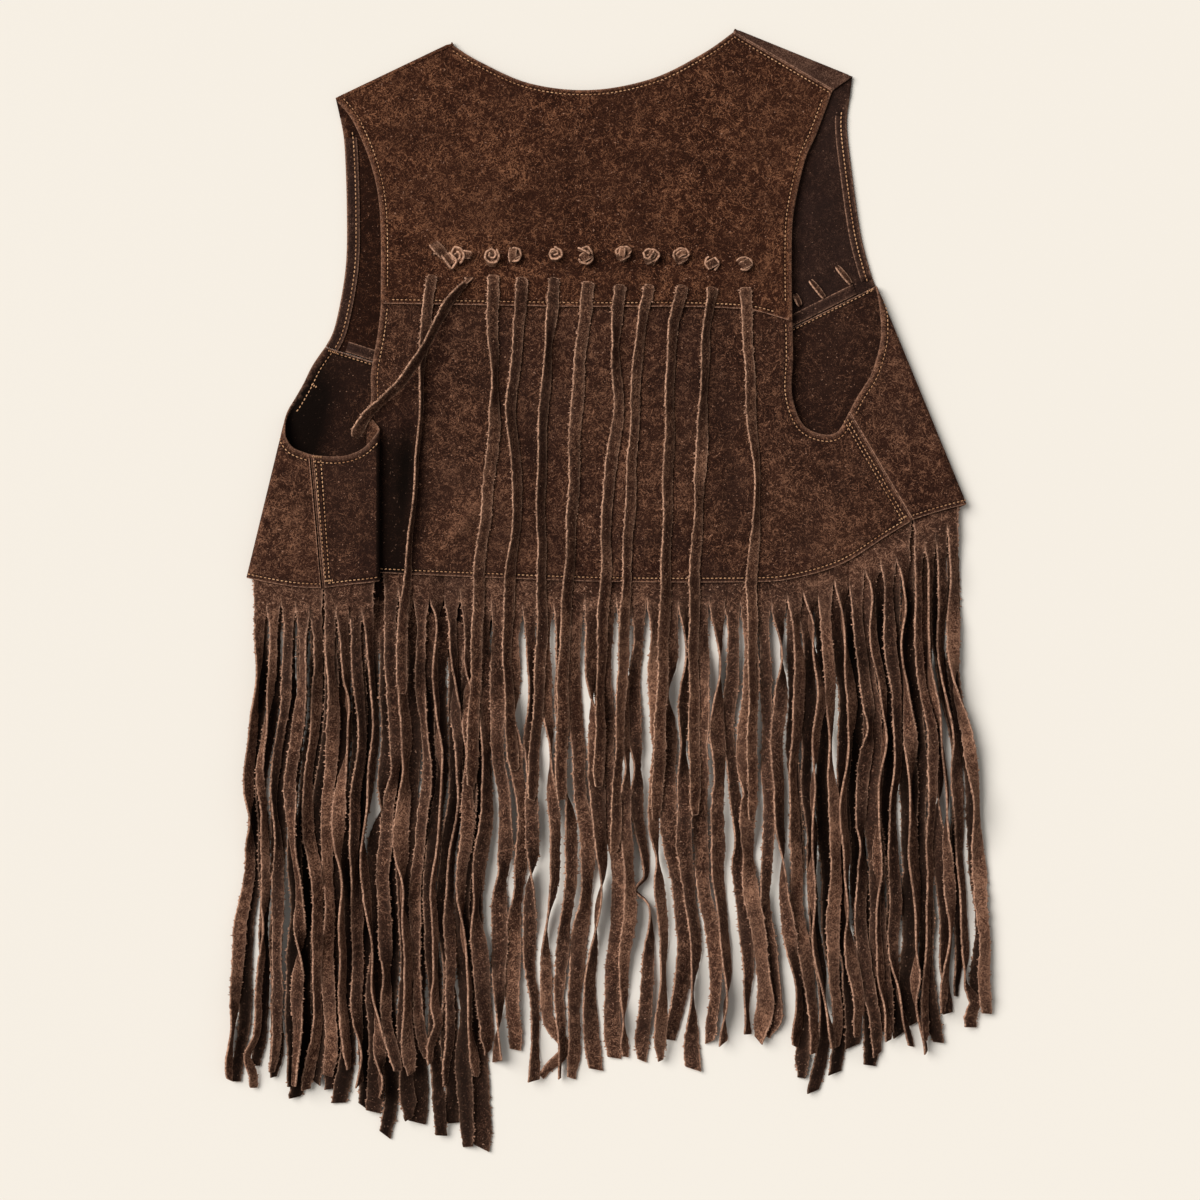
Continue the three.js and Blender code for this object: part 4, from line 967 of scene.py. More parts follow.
# The suedes: dark, main and light tone, the cooler tone in patches, and the cut edge.
EDGE_TONE = (178, 134, 110)
yoke_suede = suede(
    "suede_yoke", (29, 13, 7), (57, 30, 19), (130, 87, 62), (46, 25, 17), EDGE_TONE,
)
panel_suede = suede(
    "suede_panel", (30, 15, 10), (58, 34, 24), (124, 86, 65), (45, 28, 22), EDGE_TONE,
)
front_suede = suede(
    "suede_front", (30, 18, 14), (56, 35, 27), (104, 76, 62), (44, 30, 26), EDGE_TONE, nap=0.7,
)
fringe_suede = suede(
    "suede_fringe", (35, 21, 14), (71, 45, 34), (144, 105, 83), (54, 38, 31), (198, 153, 127),
)
thong_suede = suede(
    "suede_thong", (36, 20, 13), (68, 42, 31), (136, 98, 76), (54, 36, 28), (206, 160, 132),
)
thread = thread_material()

# Panels

PLEAT_ZONES = [(VALLEY_START - 0.5, VALLEY_END + 0.5), (RIDGE_START - 0.5, RIDGE_END + 0.5)]


def flipped(points):
    return np.array(points, float) * [-1, 1]


def groove(uv, lines):
    """The hollow that a row of stitches pulls into the suede."""
    d = nearest(uv, lines)
    beside = BESIDE_HEIGHT * hump(d - BESIDE_DISTANCE, BESIDE_WIDTH)
    return -GROOVE_DEPTH * hump(d, GROOVE_WIDTH) + beside


def hemmed(uv, lines, seam):
    """The raised border where an edge is turned under, up to a little past its seam."""
    width = seam + HEMMED_PAST_SEAM
    return HEMMED_HEIGHT * (1 - smooth(width, width + HEMMED_SLOPE, nearest(uv, lines)))


def puckers(x, y, d):
    """Small waves beside the sewing."""
    wave = np.sin(x / 1.9 + y / 2.6) * np.sin(x / 5.1 - y / 4.3)
    return PUCKER_HEIGHT * wave * hump(d - PUCKER_DISTANCE, PUCKER_WIDTH)


neck = spline(NECKLINE, 42)
arm_left = spline(YOKE_ARMHOLE_LEFT, 30)
arm_right = spline(YOKE_ARMHOLE_RIGHT, 30)
yoke_edge = curve_points(YOKE_EDGE, 126, -156, 48)
yoke_outline = np.concatenate([
    neck, np.array(SHOULDER_SEAM_RIGHT), arm_right, yoke_edge, arm_left,
    np.array(SHOULDER_SEAM_LEFT)[::-1],
])
shoulder_row = np.array(SHOULDER_SEAM_RIGHT, float)
shoulder_row = finely(mix(shoulder_row[0], shoulder_row[1], np.array([[0.04], [0.97]])), 4, False)
yoke_rows = [
    inset(neck[1:-1], NECK_SEAM, yoke_outline),
    inset(arm_left[2:-1], ARMHOLE_SEAM, yoke_outline),
    inset(arm_right[2:-2], ARMHOLE_SEAM, yoke_outline),
    inset(yoke_edge[2:-1], EDGE_SEAM, yoke_outline),
    inset(shoulder_row, 2.4, yoke_outline),
]


def raise_yoke(x, y, uv):
    d = nearest(uv, yoke_rows)
    outer = groove(uv, yoke_rows) + hemmed(uv, [neck], NECK_SEAM) + puckers(x, y, d)
    outer = outer + hemmed(uv, [arm_left, arm_right], ARMHOLE_SEAM)
    return swell(x, y), outer, 0 * x


# The thongs of the back yoke: knot, exit, end, the x of the way down at some heights, and the
# turns about the way, in degrees, at heights on y.
ROUTE_HEIGHTS = [180, 130, 70, 20, -40]
THONGS = [
    ((-119, 239.4), (-123.2, 222.3), (-142.8, -67.9),
     [-128.6, -130.8, -135.3, -139.8, -144.2],
     [(215, -12), (182, -22), (160, -74), (60, -80), (20, -62), (-5, -26), (-60, -14)]),
    ((-105.7, 236.6), (-97.3, 222.3), (-177.1, 111.3), [],
     [(218, -66), (200, -44), (186, -66), (168, -58), (150, -34), (138, -60), (112, -20)]),
    ((-81.2, 235.9), (-80.1, 222.3), (-95.9, -133),
     [-80.4, -79.1, -84.1, -89.7, -91.8],
     [(215, -16), (175, -24), (158, -62), (146, -66), (128, -22), (60, -16), (0, -30), (-60, -14),
      (-130, -24)]),
    ((-65.1, 238.4), (-60.2, 220.5), (-65.8, -121.8),
     [-62.9, -67.9, -63.2, -67.8, -70.6],
     [(215, -18), (180, -26), (140, -34), (110, -46), (80, -34), (40, -52), (0, -30), (-60, -50),
      (-120, -20)]),
    ((-37.1, 238.4), (-37.8, 220.5), (-53.9, -142.1),
     [-41, -45.1, -46.9, -46.5, -46.8],
     [(215, -10), (190, -20), (178, -70), (164, -58), (150, -28), (110, -40), (60, -48), (10, -34),
      (-50, -20), (-140, -30)]),
    ((-15.4, 237.3), (-14, 217.7), (-32.9, -142.1),
     [-18.1, -22.1, -24.4, -27, -30.7],
     [(213, -8), (150, -16), (80, -24), (30, -48), (0, -38), (-60, -22), (-140, -12)]),
    ((10.5, 238), (8.4, 215.6), (-6.3, -133),
     [4.9, 7.1, -0.5, -1.5, -4.6],
     [(212, -10), (190, -30), (176, -66), (160, -34), (120, -16), (60, -30), (0, -22), (-60, -48),
      (-130, -20)]),
    ((29.4, 235.9), (28.7, 215.6), (4.2, -178.5),
     [21.9, 18.7, 15.6, 13.1, 10.7],
     [(212, -14), (186, -50), (165, -32), (110, -30), (60, -26), (10, -34), (-60, -20),
      (-120, -44), (-178, -12)]),
    ((51.1, 235.9), (51.8, 214.9), (33.6, -155.4),
     [44.6, 43.2, 41.6, 40.5, 38.6],
     [(211, -22), (180, -40), (130, -44), (80, -36), (30, -40), (-40, -26), (-100, -14),
      (-155, -20)]),
    ((72.8, 232.4), (72.8, 213.5), (60.9, -152.6),
     [68.3, 66.3, 63.7, 60.8, 59.8],
     [(210, -40), (190, -56), (168, -30), (150, -58), (128, -40), (104, -10), (84, -18), (66, -50),
      (40, -20), (-20, -34), (-90, -18), (-152, -26)]),
    ((95.9, 231.7), (95.9, 213.5), (100.8, -155.4),
     [98, 100, 104.2, 100.8, 100.8],
     [(210, -8), (150, -20), (112, -34), (90, -58), (62, -62), (48, -30), (20, -14), (-30, -20),
      (-60, -44), (-110, -16), (-155, -24)]),
]


def slit_at(x, y):
    """The outline of a slit in the yoke."""
    u, v = SLIT_LENGTH / 2, SLIT_WIDTH / 2 - 0.35
    return np.array([
        (x - u, y), (x - u + 1, y - v), (x + u - 1, y - v), (x + u, y), (x + u - 1, y + v),
        (x - u + 1, y + v),
    ])


yoke_slits = [slit_at(*spot) for row in THONGS for spot in row[:2]]
shoulder_lines = [np.array(SHOULDER_SEAM_LEFT), np.array(SHOULDER_SEAM_RIGHT)]
# The yoke's outer face has painted light on the crests of its creases and painted shade in their
# hollows.
back_yoke = Panel(
    yoke_outline, place_yoke, [neck, arm_left, arm_right], [yoke_edge, shoulder_lines[1]],
    raise_yoke, slits=yoke_slits, rows=yoke_rows,
    shade=lambda uv, at: 0.2 * swell(at[:, 0], at[:, 1]),
)

panel_arm_left = spline(PANEL_ARMHOLE_LEFT, 48)
panel_arm_right = flipped(spline(PANEL_ARMHOLE_RIGHT[::-1], 34))
side_hem_back = spline(SIDE_HEM_BACK, 14)
back_hem = flipped(curve_points(BACK_HEM, -158, 211, 80))
side_seam_right = flipped(SIDE_SEAM_RIGHT)[::-1]
lap_edge = flipped(curve_points(YOKE_EDGE, 128, -158, 40) + [0, YOKE_LAP])
side_seam_left = np.array([panel_arm_left[-1], side_hem_back[0]])
panel_outline = np.concatenate([
    panel_arm_left, side_hem_back, back_hem, side_seam_right[:1], panel_arm_right, lap_edge,
])
hem_all = np.concatenate([side_hem_back, back_hem])


def shown(line):
    """The part of a row that isn't hidden by the pleat or under the yoke."""
    line = finely(line, 2, closed=False)
    u, y = line.T
    keep = (u < VALLEY_START - 5) | (u > RIDGE_END - 1)
    keep &= y < yoke_edge_y(-u) - 2.5
    parts = np.split(np.arange(len(line)), np.flatnonzero(np.diff(keep.astype(int))) + 1)
    return [line[part] for part in parts if keep[part[0]] and len(part) > 3]


def seam_row(line, from_top, from_bottom, outline):
    """A row beside a straight seam, nearer to it at one end than at the other."""
    row = np.array([
        inset(line, from_top, outline)[0], inset(line, from_bottom, outline)[-1],
    ])
    return mix(row[0], row[1], np.array([[0.05], [0.95]]))


panel_rows = [
    *shown(inset(panel_arm_left[1:-1], ARMHOLE_SEAM, panel_outline)),
    *shown(inset(panel_arm_right[2:-2], ARMHOLE_SEAM, panel_outline)),
    *shown(inset(finely(hem_all, 3, closed=False)[2:-2], EDGE_SEAM, panel_outline)),
    *shown(seam_row(side_seam_left, 1.6, 1.3, panel_outline)),
    *shown(seam_row(side_seam_left, 5.6, 3.9, panel_outline)),
    *shown(seam_row(side_seam_right, 3.6, 3.4, panel_outline)),
    *shown(seam_row(side_seam_right, 6.1, 5.9, panel_outline)),
]


def raise_panel(x, y, uv):
    s = uv[:, 0]
    d = nearest(uv, panel_rows)
    outer = groove(uv, panel_rows) + puckers(x, y, d)
    outer = outer + hemmed(uv, [panel_arm_left, panel_arm_right], ARMHOLE_SEAM)
    outer = outer + 0.5 * (1 - smooth(7.4, 8.6, nearest(uv, [side_seam_left, side_seam_right])))
    hidden = (s > VALLEY_START - 6) & (s < RIDGE_END)
    under_yoke = y > yoke_edge_y(x) - 1.5
    outer = np.where(hidden | under_yoke, 0, outer)
    upper = s >= RIDGE_END
    ripple = 0.45 * np.sin(x / 7.1 + y / 31) * smooth(RIDGE_END, RIDGE_END + 14, s)
    both = np.where(upper, ripple * smooth(0, 14, nearest(uv, [side_seam_left])), swell(x, y))
    return np.where(hidden, 0, both), outer, 0 * x


def shade_panel(uv, at):
    """Painted shade beside the pleat and on the flap between the pleat and the side seam, with painted
    light on the crests of the creases and painted shade in their hollows.
    """
    s, (x, y) = uv[:, 0], at[:, :2].T
    painted_shade_by_pleat = -0.95 * smooth(121, 147, s) * smooth(150, 96, y)
    painted_shade_on_flap = -0.3 - 0.16 * smooth(RIDGE_END + 26, RIDGE_END, s)
    return np.where(s < RIDGE_END, painted_shade_by_pleat + 0.22 * swell(x, y), painted_shade_on_flap)


back_panel = Panel(
    panel_outline, place_back_panel, [panel_arm_left, panel_arm_right],
    [hem_all, lap_edge, side_seam_left, side_seam_right], raise_panel, zones=PLEAT_ZONES,
    rows=panel_rows, shade=shade_panel,
)


def shade_front_left(uv, at):
    """The inner face is in the shade of the roll at the side."""
    n, y = uv[:, 0], at[:, 1]
    return -0.75 * smooth(-38, -8, n) * smooth(175, 135, y)


def along(line, low, high):
    """The part of a line between two shares of its points."""
    line = finely(line, 2, closed=False)
    return line[int(low * len(line)):max(int(low * len(line)) + 2, int(high * len(line)))]


INNER_WAVES, INNER_RISE = 0.4, 0.1


def front_piece(fold, lift, edges, turned, raw, rows=(), inner_rows=(), **looks):
    """A front piece in the pattern of its fold, with its rows of stitches. Its inner face shows
    through the armhole. A row is given by a line, two shares of it and a distance inward."""
    outline = np.concatenate(edges)
    rows, inner_rows = (
        [inset(along(line, low, high), inward, outline) for line, low, high, inward in table]
        for table in (rows, inner_rows)
    )

    def place(uv, side):
        return fold.place(uv, np.broadcast_to(side, len(uv)), lift)

    def raise_faces(x, y, uv):
        on_top = smooth(fold.arc * 0.6, fold.arc + 1, uv[:, 0])
        outer = groove(uv, rows) + hemmed(uv, turned, ARMHOLE_SEAM) if rows else 0 * x
        ripple = 0.5 * np.sin(x / 6.3 + y / 23) * np.sin(y / 15)
        calm = smooth(fold.arc + 4, fold.arc + 16, uv[:, 0])
        inner = groove(uv, inner_rows) if inner_rows else 0 * x
        waves = np.sin(x / 13 + y / 29) * np.sin(y / 17 - x / 37)
        inner = inner + INNER_WAVES * waves + INNER_RISE
        return ripple * calm * on_top * 0.6, outer * on_top, inner * (1 - smooth(-3, 0, uv[:, 0]))

    made = Panel(
        outline, place, turned, raw, raise_faces, zones=[(-0.5, fold.arc + 0.5)],
        rows=[*rows, *inner_rows], **looks,
    )
    return made, rows, inner_rows


def front_panel_edges(fold, armhole, yoke_seam, hem, hem_on_top, side_seam, gap):
    """The edges of a front panel, which rolls round the side, in the pattern of its fold."""
    return [
        armhole, fold.pattern(offset(yoke_seam, gap)), fold.pattern(hem),
        fold.pattern(hem_on_top, top=True), fold.pattern(offset(side_seam, gap)[::-1], top=True),
    ]


def front_yoke_edges(fold, shoulder, shoulder_seam, armhole, neck_edge, gap):
    """The edges of a front yoke, which rolls over the shoulder, in the pattern of its fold."""
    return [
        fold.pattern(spline(armhole, 30)), fold.pattern(shoulder[1:]),
        fold.pattern(offset(shoulder_seam, gap)[::-1], top=True), fold.pattern(shoulder[:1]),
        fold.pattern(spline(neck_edge, 20)),
    ]


arm_top = left_side.pattern(spline(FRONT_ARMHOLE_LEFT_TOP, 12), top=True)
arm_low = left_side.pattern(spline(FRONT_ARMHOLE_LEFT_LOW, 16))
left_edges = front_panel_edges(
    left_side, np.concatenate([arm_top, arm_low]), YOKE_SEAM_LEFT,
    np.concatenate([[(-83, -31)], curve_points(FRONT_HEM_LEFT, -90, -252.8, 50)]),
    curve_points(SIDE_HEM, -252.7, -198.4, 20), SIDE_SEAM_LEFT, -SEAM_GAP,
)
front_left, left_rows, left_inner = front_piece(
    left_side, lift_left, left_edges, left_edges[:1], left_edges[1:],
    rows=[(arm_top, 0.04, 1, ARMHOLE_SEAM), (left_edges[3], 0.03, 0.97, EDGE_SEAM)],
    inner_rows=[(arm_low, 0.04, 0.94, 6.2), (left_edges[1], 0.04, 0.5, 2.0)],
    inner_tone=-0.1, inner_shade=shade_front_left,
)

right_edges = front_panel_edges(
    right_side, right_side.pattern(spline(FRONT_ARMHOLE_RIGHT, 30), top=True), YOKE_SEAM_RIGHT,
    np.concatenate([[(124, 0)], curve_points(FRONT_HEM_RIGHT, 130, 251, 40)]),
    spline(SIDE_HEM_RIGHT[::-1], 16), SIDE_SEAM_RIGHT, SEAM_GAP,
)
front_right, right_rows, right_inner = front_piece(
    right_side, lift_right, right_edges, right_edges[:1], right_edges[1:],
    rows=[(right_edges[0], 0.03, 0.97, ARMHOLE_SEAM), (right_edges[3], 0.04, 0.97, EDGE_SEAM)],
    inner_rows=[(right_edges[1], 0.04, 0.6, 1.6)], inner_tone=0.1,
)

yoke_left_edges = front_yoke_edges(
    left_shoulder, SHOULDER_LEFT, SHOULDER_SEAM_LEFT, FRONT_YOKE_ARMHOLE_LEFT, FRONT_NECK_LEFT,
    -SEAM_GAP,
)
front_yoke_left, _, yoke_left_inner = front_piece(
    left_shoulder, no_lift, yoke_left_edges, [yoke_left_edges[0], yoke_left_edges[4]], [],
    inner_rows=[(yoke_left_edges[0], 0.03, 0.92, 6.6)], inner_tone=-0.1,
    shade=lambda uv, at: 0.2,
)

yoke_right_edges = front_yoke_edges(
    right_shoulder, SHOULDER_RIGHT, SHOULDER_SEAM_RIGHT, FRONT_YOKE_ARMHOLE_RIGHT,
    FRONT_NECK_RIGHT, SEAM_GAP,
)
front_yoke_right, _, yoke_right_inner = front_piece(
    right_shoulder, no_lift, yoke_right_edges, [yoke_right_edges[0], yoke_right_edges[4]],
    [yoke_right_edges[2]], inner_rows=[(yoke_right_edges[0], 0.06, 0.92, 4.3)], inner_tone=0.1,
    shade=lambda uv, at: 0.4,
)


# Fringe and thongs

# The fringes in the order in which they lie: name, hem, level, strands, root from and to, end
# from and to, lowest from and to, stray, twist, share of the usual width and lift.
FRINGES = [
    ("fringe_front_left", FRONT_HEM_LEFT, lambda x, y: FRONT_LEVEL + LAP,
     17, -242.8, -88, -256, -92, -332, -385, 1.7, 0.5, 1.27, 0.3),
    ("fringe_front_right", FRONT_HEM_RIGHT, lambda x, y: FRONT_LEVEL + LAP,
     12, 129, 240.8, 136, 261, -340, -287, 1.7, 0.5, 1.27, 0.3),
    ("fringe_back", BACK_HEM, lambda x, y: float(back_level(x, y)) - LAP,
     34, -152.5, 207, -154, 217, -334, -312, 2.5, 1, 1.2, 2.6),
    ("fringe_back_left", SIDE_HEM,
     lambda x, y: float(place_back_panel(np.array([[over_pleat(x), y]]), 0)[0, 2]) - LAP,
     4, -194.4, -167.6, -195, -164, -337, -352, 2.3, 1, 1.1, 0.7),
    ("fringe_side_left", SIDE_HEM, lambda x, y: rolled_level(left_side, lift_left, x, y) - LAP,
     5, -243.6, -203.6, -263, -207, -344, -334, 2.2, 1, 1.1, 0.7),
    ("fringe_side_right", SIDE_HEM_RIGHT,
     lambda x, y: rolled_level(right_side, lift_right, x, y) - LAP,
     4, 217.4, 241.6, 228, 264, -306, -288, 1.6, 0.9, 1.08, 0.7),
]


class Bed:
    """The heights of what has been laid down so far, over a grid."""

    LOW_X, HIGH_X, STEP_X = -300, 300, 0.6
    LOW_Y, HIGH_Y, STEP_Y = -404, 404, 4.0

    ACROSS_PLACES = 29

    def __init__(self):
        self.x = np.arange(self.LOW_X, self.HIGH_X, self.STEP_X)
        self.y = np.arange(self.LOW_Y, self.HIGH_Y, self.STEP_Y)
        self.top = np.zeros((len(self.y), len(self.x)))

    def cells(self, x, y):
        i = np.clip(np.round((y - self.LOW_Y) / self.STEP_Y).astype(int), 0, len(self.y) - 1)
        j = np.clip(np.round((x - self.LOW_X) / self.STEP_X).astype(int), 0, len(self.x) - 1)
        return i, j

    def spread(self, x, y, across, normal, left, right, thick):
        """Where the lower and upper face of a strip are, over and under its middle."""
        u = np.linspace(-1, 1, self.ACROSS_PLACES)
        off = np.where(u < 0, u * left[:, None], u * right[:, None])
        xs = x[:, None] + off * across[:, :1]
        ys = y[:, None] + off * across[:, 1:2]
        rise = off * across[:, 2:]
        half = thick / 2 * np.maximum(np.abs(normal[:, 2:]), 0.2)
        return self.cells(xs, ys), rise, half

    def need(self, *strip):
        cells, rise, half = self.spread(*strip)
        return (self.top[cells] - rise + half).max(1) + CLEAR

    def lay(self, z, *strip):
        cells, rise, half = self.spread(*strip)
        np.maximum.at(self.top, cells, z[:, None] + rise + half)


bed = Bed()
for table, start, end in ((FRONT_HEM_LEFT, -258, -83), (FRONT_HEM_RIGHT, 124, 258)):
    under = (bed.x > start) & (bed.x < end)
    above = bed.y[:, None] > height_at(table, np.clip(bed.x, start, end))[None, :]
    bed.top = np.where(above & under[None, :], CLOTH, bed.top)


SETTLING_WEIGHTS = [0.1, 0.2, 0.4, 0.2, 0.1]
TURN_WEIGHTS = [0.15, 0.2, 0.3, 0.2, 0.15]


def softened(values, weights):
    """Values along a strip, each mixed with its neighbours."""
    return np.convolve(np.pad(values, len(weights) // 2, mode="edge"), weights, "valid")


def settle(z, need, fixed):
    """Raises places until they lie on what is under them, at an even slope."""
    index = np.arange(len(z))
    slack = LIE_SLOPE * STRAND_STEP * np.abs(index[:, None] - index[None, :])
    raised = np.maximum(z, (need[None, :] - slack).max(1))
    raised = np.maximum(softened(raised, SETTLING_WEIGHTS), need)
    return np.where(index < fixed, z, np.maximum(raised, z))


def turning(seed, v, lean, twist, calm):
    """How far a strand is turned about itself along its length, in radians."""
    turn = -lean * smooth(0.015, 0.09, v)
    wave = np.sin(v * (6 + 8 * chance(seed, 6)) + 6 * chance(seed, 7))
    turn = turn + 0.34 * wave * twist * smooth(0.03, 0.22, v)
    for k in range(4):
        if chance(seed, 30 + k) < 0.8 * calm:
            at = (k + 0.2 + 0.7 * chance(seed, 34 + k)) / 4
            wide = 0.035 + 0.05 * chance(seed, 38 + k)
            deep = (0.45 + 0.75 * chance(seed, 42 + k)) * twist
            turn = turn - deep * hump(v - at, wide)
    if chance(seed, 46) < 0.4 * calm * twist:
        at, wide = 0.2 + 0.7 * chance(seed, 47), 0.09 + 0.08 * chance(seed, 48)
        turn = turn - math.pi * smooth(at - wide, at + wide, v)
    return turn


# How far strands lean from lying flat, in radians: more where a front's fringe lies under them.
LEAN, LEAN_OVER_FRONT = 0.5, 1.0

# Strands that end in a fold or have a kink: fringe, strand, height on y, way and size.
KINKS = {
    (2, 10): (-318, 15, 13), (2, 16): (-206, -9, 6), (2, 3): (-300, 5, 10),
    (2, 24): (-310, -6, 9), (4, 1): (-322, -5, 9), (5, 2): (-284, 6, 9),
}


# A strand's way across: sways that neighbours share, its own kinks, and the hook of its tip.
SWAY, SMALL_SWAY, KINK, HOOK = 2.6, 1.3, 0.8, 9
# Where the cuts between strands start below the hem, and how far that varies.
CUT_START, CUT_SPREAD, CUT_NARROW = 8.5, 10, 0.78
LEAN_LEAST, LEAN_FORWARD, LEAN_BACK = 0.14, 0.72, 0.8
EDGE_WAVE, TIP_TAPER = 0.36, 0.55


def strand_x(y, v, seed, root, end, stray):
    """Where a strand is on x, down its length."""
    sway = SWAY * np.sin(y / 41 + root / 47) + SMALL_SWAY * np.sin(y / 19 + root / 31)
    own = np.sin(v * (4 + 5 * chance(seed, 4)) + 6 * chance(seed, 5))
    kink = KINK * np.sin(y / 10 + 9 * chance(seed, 8)) * np.sin(y / 43 + 6 * chance(seed, 9))
    wander = (sway + stray * own + kink) * smooth(0, 0.3, v)
    hook = HOOK * (chance(seed, 12) - 0.5) * smooth(0.86, 1.02, v) ** 1.5
    return mix(root, end, smooth(0, 1, v)) + wander + hook


def strand_bows(v, seed, lift):
    """How far a strand bows up off what it lies on."""
    bows = np.sin(v * math.pi) ** 0.7 * (1.6 + 1.7 * chance(seed, 17))
    bows = bows + 1.1 * np.sin(v * (9 + 5 * chance(seed, 18)) + 6 * chance(seed, 19))
    return lift * np.maximum(bows, 0) * smooth(0.02, 0.2, v) * smooth(0, 0.1, 1 - v)


def strand(fringe, order, index):
    """A strand's places, widths and turns, before it is laid down."""
    (_, hem, level, count, root_from, root_to, end_from, end_to, low_from, low_to,
     stray, twist, wide, lift) = fringe
    seed = index + 100 * order
    share = index / (count - 1)
    pitch = (root_to - root_from) / (count - 1)
    root, end = mix(root_from, root_to, share), mix(end_from, end_to, share)
    root_y = float(height_at(hem, root))
    start = root_y - STRIP_DROP + 3
    low = mix(low_from, low_to, share) + END_SPREAD * (chance(seed, 1) - 0.5)
    over_front = order > 2 or (order == 2 and not -92 < root < 128)
    width = STRAND_WIDTH * wide * (WIDTH_LEAST + WIDTH_SPREAD * chance(seed, 2))
    width *= WIDTH_OVER_FRONT if over_front else 1
    top = root_y + STRIP_TUCK
    y = np.linspace(top, low, int((top - low) / STRAND_STEP) + 1)
    v = np.clip((start - y) / (start - low), 0, 1)
    x = strand_x(y, v, seed, root, end, stray)
    if (order, index) in KINKS:
        at, way, reach = KINKS[order, index]
        x = x + way * hump(y - at, reach)

    calm = 1.0 if index % 2 else 0.6
    reach = LEAN_OVER_FRONT if over_front else LEAN
    lean = LEAN_LEAST + reach * chance(seed, 13) * calm
    lean *= 1 if chance(seed, 15) < LEAN_FORWARD else -LEAN_BACK
    turn = turning(seed, v, lean, twist, calm)

    root_level = level(root, root_y)
    under_hem = [level(root, float(h)) if h > root_y else root_level for h in y]
    fall = mix(root_level, 0, smooth(0, DROP_REACH, start - y))
    z = np.where(y > start, under_hem, np.maximum(fall, 0) + strand_bows(v, seed, lift))

    uneven = np.sin(y / 13 + 9 * chance(seed, 23)) + np.sin(y / 29 + 9 * chance(seed, 24))
    uneven = EDGE_WAVE * uneven * smooth(0.1, 0.3, v)
    taper = 1 - TIP_TAPER * smooth(0.96, 1.0, v) * chance(seed, 14) ** 1.5
    halves, opens = [], []
    for cut_number, way in ((index, -1), (index + 1, 1)):
        cut_top = top + 1
        if 0 < cut_number < count:
            cut_top = float(height_at(hem, root + way * pitch / 2)) - CUT_START
            cut_top -= CUT_SPREAD * chance(cut_number + 100 * order, 21)
        narrow = mix(CUT_NARROW, 1, smooth(6, 60, cut_top - y))
        half = mix(pitch / 2 + 0.15, width / 2 * narrow, smooth(0, 24, cut_top - y))
        halves.append((half + uneven) * taper)
        opens.append(smooth(0, 5, cut_top - y) * np.where(y > root_y + 2, 0, 1))
    return {
        "at": np.c_[x, y, z], "turn": turn, "left": halves[0], "right": halves[1],
        "open": opens, "v": v, "seed": seed, "fixed": int((y > start - 4).sum()),
    }


def lay(strip, thick):
    """Lays a strip on the bed."""
    at, turn = strip["at"], strip["turn"]
    across, normal = frames(at, turn)
    sides = (at[:, 0], at[:, 1], across, normal, strip["left"], strip["right"], thick)
    at[:, 2] = settle(at[:, 2], bed.need(*sides), strip["fixed"])
    bed.lay(at[:, 2], *sides)
    return at


def finer(values, count):
    """Values along a strip at more places, through a smooth curve."""
    values = np.array(values, float)
    flat = values.reshape(len(values), -1)
    return spline(flat, count).reshape(count + 1, *values.shape[1:])


NUB = np.array([(1, 0, 0), (-1, 0, 0), (0, 1, 0), (0, -1, 0), (0, 0, 1), (0, 0, -1)], float)
NUB_FACES = np.array([
    (0, 2, 4), (2, 1, 4), (1, 3, 4), (3, 0, 4), (2, 0, 5), (1, 2, 5), (3, 1, 5), (0, 3, 5),
])
NUB_SPACING = 3.0
NUB_SIZE = (0.9, 1.5)
NUB_LENGTH = (0.35, 0.8)
NUB_THICKNESS = 0.45
NUB_TONE = 0.8


def nubs(fuzz, at, run, across, left, right, opens, random):
    """Small tufts that stand out of a strip's cut edges."""
    length = np.linalg.norm(np.diff(at, axis=0), axis=1).sum()
    count = int(length / NUB_SPACING)
    for way, half, opened in ((-1, left, opens[0]), (1, right, opens[1])):
        spot = random.uniform(1, len(at) - 2, count)
        size = random.uniform(*NUB_SIZE, count) * (random.random(count) + 0.35)
        i = spot.astype(int)
        w = (spot - i)[:, None]
        middle = mix(at[i], at[i + 1], w)
        edge = middle + way * (half[i] - 0.05)[:, None] * across[i]
        edge = edge + random.uniform(-0.4, 0.4, (count, 1)) * np.cross(run[i], across[i])
        keep = opened[i] > 0.9
        edge, size, i = edge[keep], size[keep], i[keep]
        long = random.uniform(*NUB_LENGTH, len(size))
        axes = (long[:, None] * run[i], size[:, None] * across[i],
                NUB_THICKNESS * np.cross(run[i], across[i]))
        points = edge[:, None, :] + sum(NUB[None, :, k:k + 1] * axes[k][:, None, :] for k in range(3))
        triangles = NUB_FACES[None] + 6 * np.arange(len(edge))[:, None, None]
        fuzz.add(points.reshape(-1, 3), triangles.reshape(-1, 3), pale=1.0, tone=NUB_TONE)


